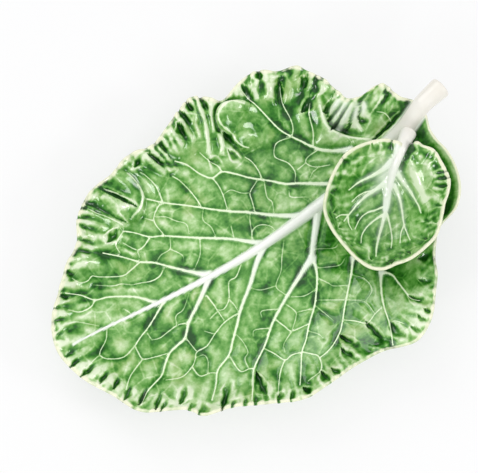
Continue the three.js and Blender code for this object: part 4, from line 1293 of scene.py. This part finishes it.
def rod(centres, half_widths, half_heights, ribs):
    """A closed rod of oval section along centres, faintly ribbed along its length."""
    bm = bmesh.new()
    steps = len(centres) - 1
    verts = bmesh.ops.create_grid(bm, x_segments=steps, y_segments=STALK_SIDES, size=1)["verts"]
    square = np.array([vert.co[:2] for vert in verts], float)
    number = np.rint((square[:, 0] + 1) / 2 * steps).astype(int)
    angle = (square[:, 1] + 1) * math.pi
    ahead = np.gradient(centres, axis=0)
    ahead /= np.linalg.norm(ahead, axis=1)[:, None]
    left = np.cross([0, 0, 1], ahead)
    left /= np.linalg.norm(left, axis=1)[:, None]
    over = np.cross(ahead, left)
    rib = 1 + STALK_RIB_DEPTH * np.cos(ribs * angle + STALK_RIB_WANDER * np.sin(3 * angle))
    sideways = (half_widths[number] * rib * np.cos(angle))[:, None] * left[number]
    upwards = (half_heights[number] * rib * np.sin(angle))[:, None] * over[number]
    for vert, place in zip(verts, into_frame(centres[number] + sideways + upwards)):
        vert.co = place
    bmesh.ops.remove_doubles(bm, verts=bm.verts, dist=STALK_SEAM)
    bmesh.ops.recalc_face_normals(bm, faces=bm.faces)
    return bm


def end_rings(inner, outer, half_width, half_height, depth):
    """Centre, half-width and half-height of the rings that close one end of a rod, rounded to a depth."""
    way = outer - inner
    way = way / np.linalg.norm(way)
    rings = []
    for turn in np.radians(END_TURNS):
        centre = outer + way * depth * math.sin(turn)
        narrower = depth * (1 - math.cos(turn))
        rings.append((centre, half_width - narrower, half_height - narrower))
    for share in END_RINGS:
        centre = outer + way * depth + way * END_BULGE * (1 - share * share)
        rings.append((centre, (half_width - depth) * share, (half_height - depth) * share))
    return rings


def with_ends(centres, half_widths, half_heights, start_round, end_round):
    """Adds rings to a rod that close both its ends, each rounded by its own depth."""
    middle = list(zip(centres, half_widths, half_heights))
    first = end_rings(centres[1], *middle[0], start_round)
    last = end_rings(centres[-2], *middle[-1], end_round)
    rings = first[::-1] + middle + last
    return tuple(np.array([ring[column] for ring in rings]) for column in range(3))


def large_stalk_rod():
    x, y, width = stalk_stations().T
    half_height = STALK_HALF_HEIGHT * width
    centres = np.column_stack([x, y, leaf_top(x, y) + STALK_RAISED * width])
    tip_round = STALK_TIP_ROUND * half_height[0]
    return rod(*with_ends(centres, width / 2, half_height, tip_round, STALK_END_ROUND), STALK_RIBS)


def small_stalk_rod():
    """Lies in the bowl, rises out of it over the rim and comes down onto the large stalk."""
    x, y, width = small_stalk_stations().T
    length = math.hypot(SMALL_STALK_END[0] - x[0], SMALL_STALK_END[1] - y[0])
    far = np.hypot(x - x[0], y - y[0]) / length
    half_height = SMALL_STALK_HALF_HEIGHT * width
    emerged = SMALL_STALK_EMERGES * smoothstep(*SMALL_STALK_EMERGES_AT, far)
    lying = bowl_top(x, y) + half_height * (emerged - SMALL_STALK_SUNK)
    resting = SMALL_STALK_REST + half_height
    centres = np.column_stack([x, y, lying + (resting - lying) * far**SMALL_STALK_BEND])
    tip_round = STALK_TIP_ROUND * half_height[0]
    rings = with_ends(centres, width / 2, half_height, tip_round, SMALL_STALK_END_ROUND)
    return rod(*rings, SMALL_STALK_RIBS)


# Materials


class Shading:
    """Builds one material's nodes."""

    def __init__(self, name):
        self.material = bpy.data.materials.new(name)
        self.material.use_nodes = True
        self.nodes = self.material.node_tree.nodes
        self.links = self.material.node_tree.links
        self.nodes.clear()
        self.output = self.nodes.new("ShaderNodeOutputMaterial")
        self.coords = self.nodes.new("ShaderNodeTexCoord").outputs["Object"]

    def put(self, socket, value):
        """Gap between the bowl's stalk and its rim, painted dark as shade, as pixels along it"""
        if isinstance(value, bpy.types.NodeSocket):
            self.links.new(value, socket)
        elif isinstance(value, tuple) and len(value) == 3 and socket.type == "RGBA":
            socket.default_value = (*value, 1)
        else:
            socket.default_value = value

    def attribute(self, name, output="Fac"):
        node = self.nodes.new("ShaderNodeAttribute")
        node.attribute_name = name
        return node.outputs[output]

    def axes(self, vector):
        """The X, Y and Z of a vector."""
        node = self.nodes.new("ShaderNodeSeparateXYZ")
        self.links.new(vector, node.inputs["Vector"])
        return [node.outputs[axis] for axis in "XYZ"]

    def line_reading(self, name):
        """How many half-widths away the nearest vein is, and how strongly it shows."""
        *across, strength = self.axes(self.attribute(name, "Vector"))
        squares = [self.maths("POWER", self.maths("ABSOLUTE", way), 2.0) for way in across]
        return self.maths("SQRT", self.maths("ADD", *squares)), strength

    def maths(self, operation, a, b=0.0):
        node = self.nodes.new("ShaderNodeMath")
        node.operation = operation
        self.put(node.inputs[0], a)
        self.put(node.inputs[1], b)
        return node.outputs[0]

    def times(self, first, *others):
        """Product of readings."""
        for other in others:
            first = self.maths("MULTIPLY", first, other)
        return first

    def total(self, *parts):
        """Sum of readings, each times its share."""
        terms = [value if share == 1 else self.times(value, share) for value, share in parts]
        result = terms[0]
        for term in terms[1:]:
            result = self.maths("ADD", result, term)
        return result

    def step(self, value, low, high):
        """0 at low and 1 at high, with eased ends."""
        if low > high:
            return self.maths("SUBTRACT", 1.0, self.step(value, high, low))
        node = self.nodes.new("ShaderNodeMapRange")
        node.interpolation_type = "SMOOTHSTEP"
        self.put(node.inputs["Value"], value)
        node.inputs["From Min"].default_value = low
        node.inputs["From Max"].default_value = high
        return node.outputs["Result"]

    def mix(self, factor, a, b):
        node = self.nodes.new("ShaderNodeMix")
        node.data_type = "RGBA"
        self.put(node.inputs[0], factor)
        self.put(node.inputs[6], a)
        self.put(node.inputs[7], b)
        return node.outputs[2]

    def noise(self, scale, detail):
        node = self.nodes.new("ShaderNodeTexNoise")
        node.inputs["Scale"].default_value = scale
        node.inputs["Detail"].default_value = detail
        self.links.new(self.coords, node.inputs["Vector"])
        return node.outputs["Fac"]

    def uneven(self, scale, detail):
        """Noise about 0."""
        return self.maths("SUBTRACT", self.noise(scale, detail), 0.5)

    def cells(self, scale):
        """A net of uneven cells: distance to the nearest edge, and one random value for each cell."""
        readings = []
        for feature, output in (("DISTANCE_TO_EDGE", "Distance"), ("F1", "Color")):
            node = self.nodes.new("ShaderNodeTexVoronoi")
            node.feature = feature
            node.inputs["Scale"].default_value = scale
            self.links.new(self.coords, node.inputs["Vector"])
            readings.append(node.outputs[output])
        return readings

    def ramp(self, value, stops):
        node = self.nodes.new("ShaderNodeValToRGB")
        self.put(node.inputs["Fac"], value)
        elements = node.color_ramp.elements
        elements[0].position = stops[0][0]
        elements[-1].position = stops[-1][0]
        for place, _ in stops[1:-1]:
            elements.new(place)
        for element, (_, colour) in zip(elements, stops):
            element.color = (*colour, 1)
        return node.outputs["Color"]

    def bump(self, height, distance, strength):
        node = self.nodes.new("ShaderNodeBump")
        node.inputs["Strength"].default_value = strength
        node.inputs["Distance"].default_value = distance
        self.links.new(height, node.inputs["Height"])
        return node.outputs["Normal"]

    def surface(self, colour, roughness, normal):
        node = self.nodes.new("ShaderNodeBsdfPrincipled")
        self.put(node.inputs["Base Color"], colour)
        self.put(node.inputs["Roughness"], roughness)
        self.links.new(normal, node.inputs["Normal"])
        self.links.new(node.outputs["BSDF"], self.output.inputs["Surface"])
        return self.material


# Colour of the green glaze by its depth, from 0 where it has run off to 1 where it is darkest
GLAZE_STOPS = [
    (0.0, (0.80, 0.90, 0.66)),
    (0.2, (0.51, 0.71, 0.365)),
    (0.42, (0.255, 0.495, 0.147)),
    (0.6, (0.108, 0.325, 0.052)),
    (0.8, (0.028, 0.18, 0.012)),
    (1.0, (0.005, 0.065, 0.004)),
]
# Depth of the plain glaze, and the most that mottling alone takes off it
GLAZE_DEPTH = 0.46
THINNEST_DRIFT = -0.17
# Colours of thin patches, veins, white glaze and the bare rim
SUNLIT_GREEN = (0.30, 0.42, 0.11)
VEIN_CREAM = (0.84, 0.96, 0.68)
WHITE_GLAZE = (0.91, 0.97, 0.87)
RIM_CREAM = (0.90, 0.90, 0.68)
# The stalk's glaze, white on the leaf and creamier past the rim, between these places along it in
# metres
STALK_WHITE = [(0.3, (0.95, 0.96, 0.91)), (0.7, (0.98, 0.98, 0.96))]
STALK_CREAM = [(0.3, (0.84, 0.80, 0.72)), (0.7, (0.86, 0.84, 0.78))]
STALK_TURNS_CREAM = (0.09, 0.15)
CLAY_STOPS = [(0.3, (0.62, 0.53, 0.41)), (0.7, (0.80, 0.72, 0.60))]
CLAY_ROUGHNESS = 0.85
# Scale and detail of the noises in the glazes and the clay, and scale of the green glaze's cells
MOTTLE = (75, 6)
CLOUD = (26, 2)
SPECK = (320, 2)
VEIN_BREAKS = (90, 2)
NET_PATCHES = (36, 2)
YELLOW_PATCHES = (42, 2)
GREEN_GLOSS = (60, 2)
GREEN_RIPPLE = (180, 2)
CREAM_CLOUD = (45, 3)
CREAM_GLOSS = (80, 2)
CREAM_RIPPLE = (150, 3)
CLAY_GRAIN = (900, 4)
CELL_SCALE = 62
# Depth in metres of the fine ripple of each surface, and its strength
GREEN_BUMP = (0.0002, 0.25)
CREAM_BUMP = (0.0005, 0.4)
CLAY_BUMP = (0.0004, 0.8)


def green_glaze():
    make = Shading("green_glaze")
    pool_and_shade = make.attribute("pool_and_shade")
    mottle = make.uneven(*MOTTLE)
    cloud = make.uneven(*CLOUD)
    speck = make.uneven(*SPECK)
    edge, tone = make.cells(CELL_SCALE)

    # Depth: thick in hollows and beside veins, dark where shade is painted in, mottled, and never much
    # thinner for the mottling alone
    patch = make.times(make.maths("SUBTRACT", tone, 0.5), make.step(edge, 0.0, 0.2))
    drift = make.maths("MAXIMUM", make.total((mottle, 1.5), (cloud, 1.1), (patch, 0.3)), THINNEST_DRIFT)
    beside = make.attribute("beside")
    depth = make.total((pool_and_shade, 0.55), (GLAZE_DEPTH, 1), (drift, 1), (speck, 0.45), (beside, 0.15))

    # Veins and a net of fine cells, where the glaze has run off
    away, strength = make.line_reading("line")
    vein = make.step(make.total((away, 1), (speck, 0.9)), 1.1, 0.3)
    faint = make.total((make.noise(*VEIN_BREAKS), 0.9), (0.45, 1))
    vein = make.times(vein, make.attribute("near"), faint, strength)
    net = make.step(make.total((edge, 1), (speck, 0.06)), 0.06, 0.01)
    net = make.times(net, make.step(make.noise(*NET_PATCHES), 0.36, 0.6))
    colour = make.ramp(make.total((depth, 1), (vein, -0.5), (net, -0.16)), GLAZE_STOPS)

    # Yellower patches where it is thin, then cream veins, white glaze and the pale rim
    yellow = make.times(make.step(make.noise(*YELLOW_PATCHES), 0.5, 0.72), 0.35)
    colour = make.mix(make.times(yellow, make.step(depth, 0.75, 0.4)), colour, SUNLIT_GREEN)
    colour = make.mix(make.step(vein, 0.3, 0.85), colour, VEIN_CREAM)
    colour = make.mix(make.attribute("white"), colour, WHITE_GLAZE)
    rim = make.attribute("rim")
    ragged = make.total((speck, 0.6), (mottle, 0.6), (pool_and_shade, -0.45))
    ragged = make.times(ragged, make.step(rim, 0.0, 0.3))
    bare = make.step(make.maths("ADD", rim, ragged), 0.35, 0.95)
    colour = make.mix(make.times(bare, 0.92), colour, RIM_CREAM)
    roughness = make.total((make.noise(*GREEN_GLOSS), 0.1), (0.04, 1))
    return make.surface(colour, roughness, make.bump(make.noise(*GREEN_RIPPLE), *GREEN_BUMP))


def cream_glaze():
    make = Shading("cream_glaze")
    cloud = make.noise(*CREAM_CLOUD)
    along, _, _ = make.axes(make.coords)
    turned = make.step(along, *STALK_TURNS_CREAM)
    colour = make.mix(turned, make.ramp(cloud, STALK_WHITE), make.ramp(cloud, STALK_CREAM))
    roughness = make.total((make.noise(*CREAM_GLOSS), 0.12), (0.14, 1))
    return make.surface(colour, roughness, make.bump(make.noise(*CREAM_RIPPLE), *CREAM_BUMP))


def bare_clay():
    make = Shading("bare_clay")
    grain = make.noise(*CLAY_GRAIN)
    return make.surface(make.ramp(grain, CLAY_STOPS), CLAY_ROUGHNESS, make.bump(grain, *CLAY_BUMP))


GREEN = green_glaze()
CREAM = cream_glaze()
CLAY = bare_clay()

# Pieces
finish_piece(
    leaf_skin(large_leaf, LEAF_GRID, LEAF_WALL, LEAF_LIP, shape_large_leaf, large_leaf_underside),
    "large_leaf_glazed", GREEN, "large_leaf",
)
finish_piece(large_stalk_rod(), "large_stalk_glazed", CREAM, "large_stalk")
finish_piece(
    leaf_skin(small_bowl, BOWL_GRID, BOWL_WALL, BOWL_LIP, shape_small_bowl, small_bowl_underside),
    "small_leaf_bowl_glazed", GREEN, "small_leaf_bowl",
)
finish_piece(small_stalk_rod(), "small_stalk_glazed", CREAM, "small_stalk")
KEPT_NODES = {"foot_ring": CLAY, "bowl_foot": GREEN, "bowl_slip_fillet": GREEN, "stalk_slip_lump": CREAM}
for node, material in KEPT_NODES.items():
    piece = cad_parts[node]
    piece.data.materials.clear()
    piece.data.materials.append(material)


# Floor, light and camera

FLOOR_HALF_SIZE = 6
FLOOR_COLOUR = (0.9, 0.9, 0.9)
FLOOR_GLOW = (0.98, 0.98, 0.985)
FLOOR_GLOW_SHARE = 0.7
STUDIO_LIGHT = 0.52
STUDIO_WHITE = 1.0
# Place in metres, size and power
LAMPS = {
    "right_softbox": ((0.94, -1.05, 0.94), (0.5, 0.36), 6),
    "left_softbox": ((-1.39, -0.40, 0.78), (0.4, 0.4), 6),
    "front_softbox": ((-0.34, -1.36, 0.95), (0.3, 0.3), 2.5),
    "top_softbox": ((0.10, 1.36, 1.17), (1.0, 1.0), 9),
    "overhead_sheet": ((0, 0, 2.0), (2.4, 2.4), 10),
}


def floor_white():
    """A pale floor that keeps the shadow, and shows nearly white to the camera."""
    make = Shading("pale_floor")
    diffuse = make.nodes.new("ShaderNodeBsdfDiffuse")
    make.put(diffuse.inputs["Color"], FLOOR_COLOUR)
    glow = make.nodes.new("ShaderNodeEmission")
    make.put(glow.inputs["Color"], FLOOR_GLOW)
    path = make.nodes.new("ShaderNodeLightPath")
    seen = make.maths("MAXIMUM", path.outputs["Is Camera Ray"], path.outputs["Is Glossy Ray"])
    seen = make.maths("MAXIMUM", seen, path.outputs["Is Transmission Ray"])
    blend = make.nodes.new("ShaderNodeMixShader")
    make.links.new(make.times(seen, FLOOR_GLOW_SHARE), blend.inputs["Fac"])
    make.links.new(diffuse.outputs["BSDF"], blend.inputs[1])
    make.links.new(glow.outputs["Emission"], blend.inputs[2])
    make.links.new(blend.outputs["Shader"], make.output.inputs["Surface"])
    return make.material


def add_floor():
    bm = bmesh.new()
    bmesh.ops.create_grid(bm, x_segments=1, y_segments=1, size=FLOOR_HALF_SIZE)
    mesh = bpy.data.meshes.new("floor")
    bm.to_mesh(mesh)
    bm.free()
    mesh.materials.append(floor_white())
    floor = bpy.data.objects.new("floor", mesh)
    bpy.context.scene.collection.objects.link(floor)


def add_world():
    """An even white studio, white to the camera and dimmer as light."""
    world = bpy.data.worlds.new("studio")
    world.use_nodes = True
    nodes = world.node_tree.nodes
    links = world.node_tree.links
    background = nodes["Background"]
    path = nodes.new("ShaderNodeLightPath")
    strength = nodes.new("ShaderNodeMix")
    strength.inputs["A"].default_value = STUDIO_LIGHT
    strength.inputs["B"].default_value = STUDIO_WHITE
    links.new(path.outputs["Is Camera Ray"], strength.inputs["Factor"])
    links.new(strength.outputs["Result"], background.inputs["Strength"])
    background.inputs["Color"].default_value = (1, 1, 1, 1)
    bpy.context.scene.world = world


def add_lamp(name, place, size, power):
    """A soft box that points at the middle of the table."""
    lamp = bpy.data.lights.new(name, "AREA")
    lamp.shape = "RECTANGLE"
    lamp.size, lamp.size_y = size
    lamp.energy = power
    holder = bpy.data.objects.new(name, lamp)
    holder.location = place
    holder.rotation_euler = (Vector((0, 0, 0)) - Vector(place)).to_track_quat("-Z", "Y").to_euler()
    bpy.context.scene.collection.objects.link(holder)


def add_camera():
    _, _, back = view_axes()
    camera = bpy.data.cameras.new("photograph")
    camera.lens = CAMERA_LENS
    camera.sensor_width = CAMERA_SENSOR
    holder = bpy.data.objects.new("photograph", camera)
    holder.location = into_frame(CAMERA_AIM + CAMERA_DISTANCE * back)
    holder.rotation_euler = Vector(back).to_track_quat("Z", "Y").to_euler()
    bpy.context.scene.collection.objects.link(holder)
    bpy.context.scene.camera = holder


add_floor()
add_world()
for lamp_name, (lamp_place, lamp_size, lamp_power) in LAMPS.items():
    add_lamp(lamp_name, lamp_place, lamp_size, lamp_power)
add_camera()
bpy.context.scene.view_settings.view_transform = "Standard"
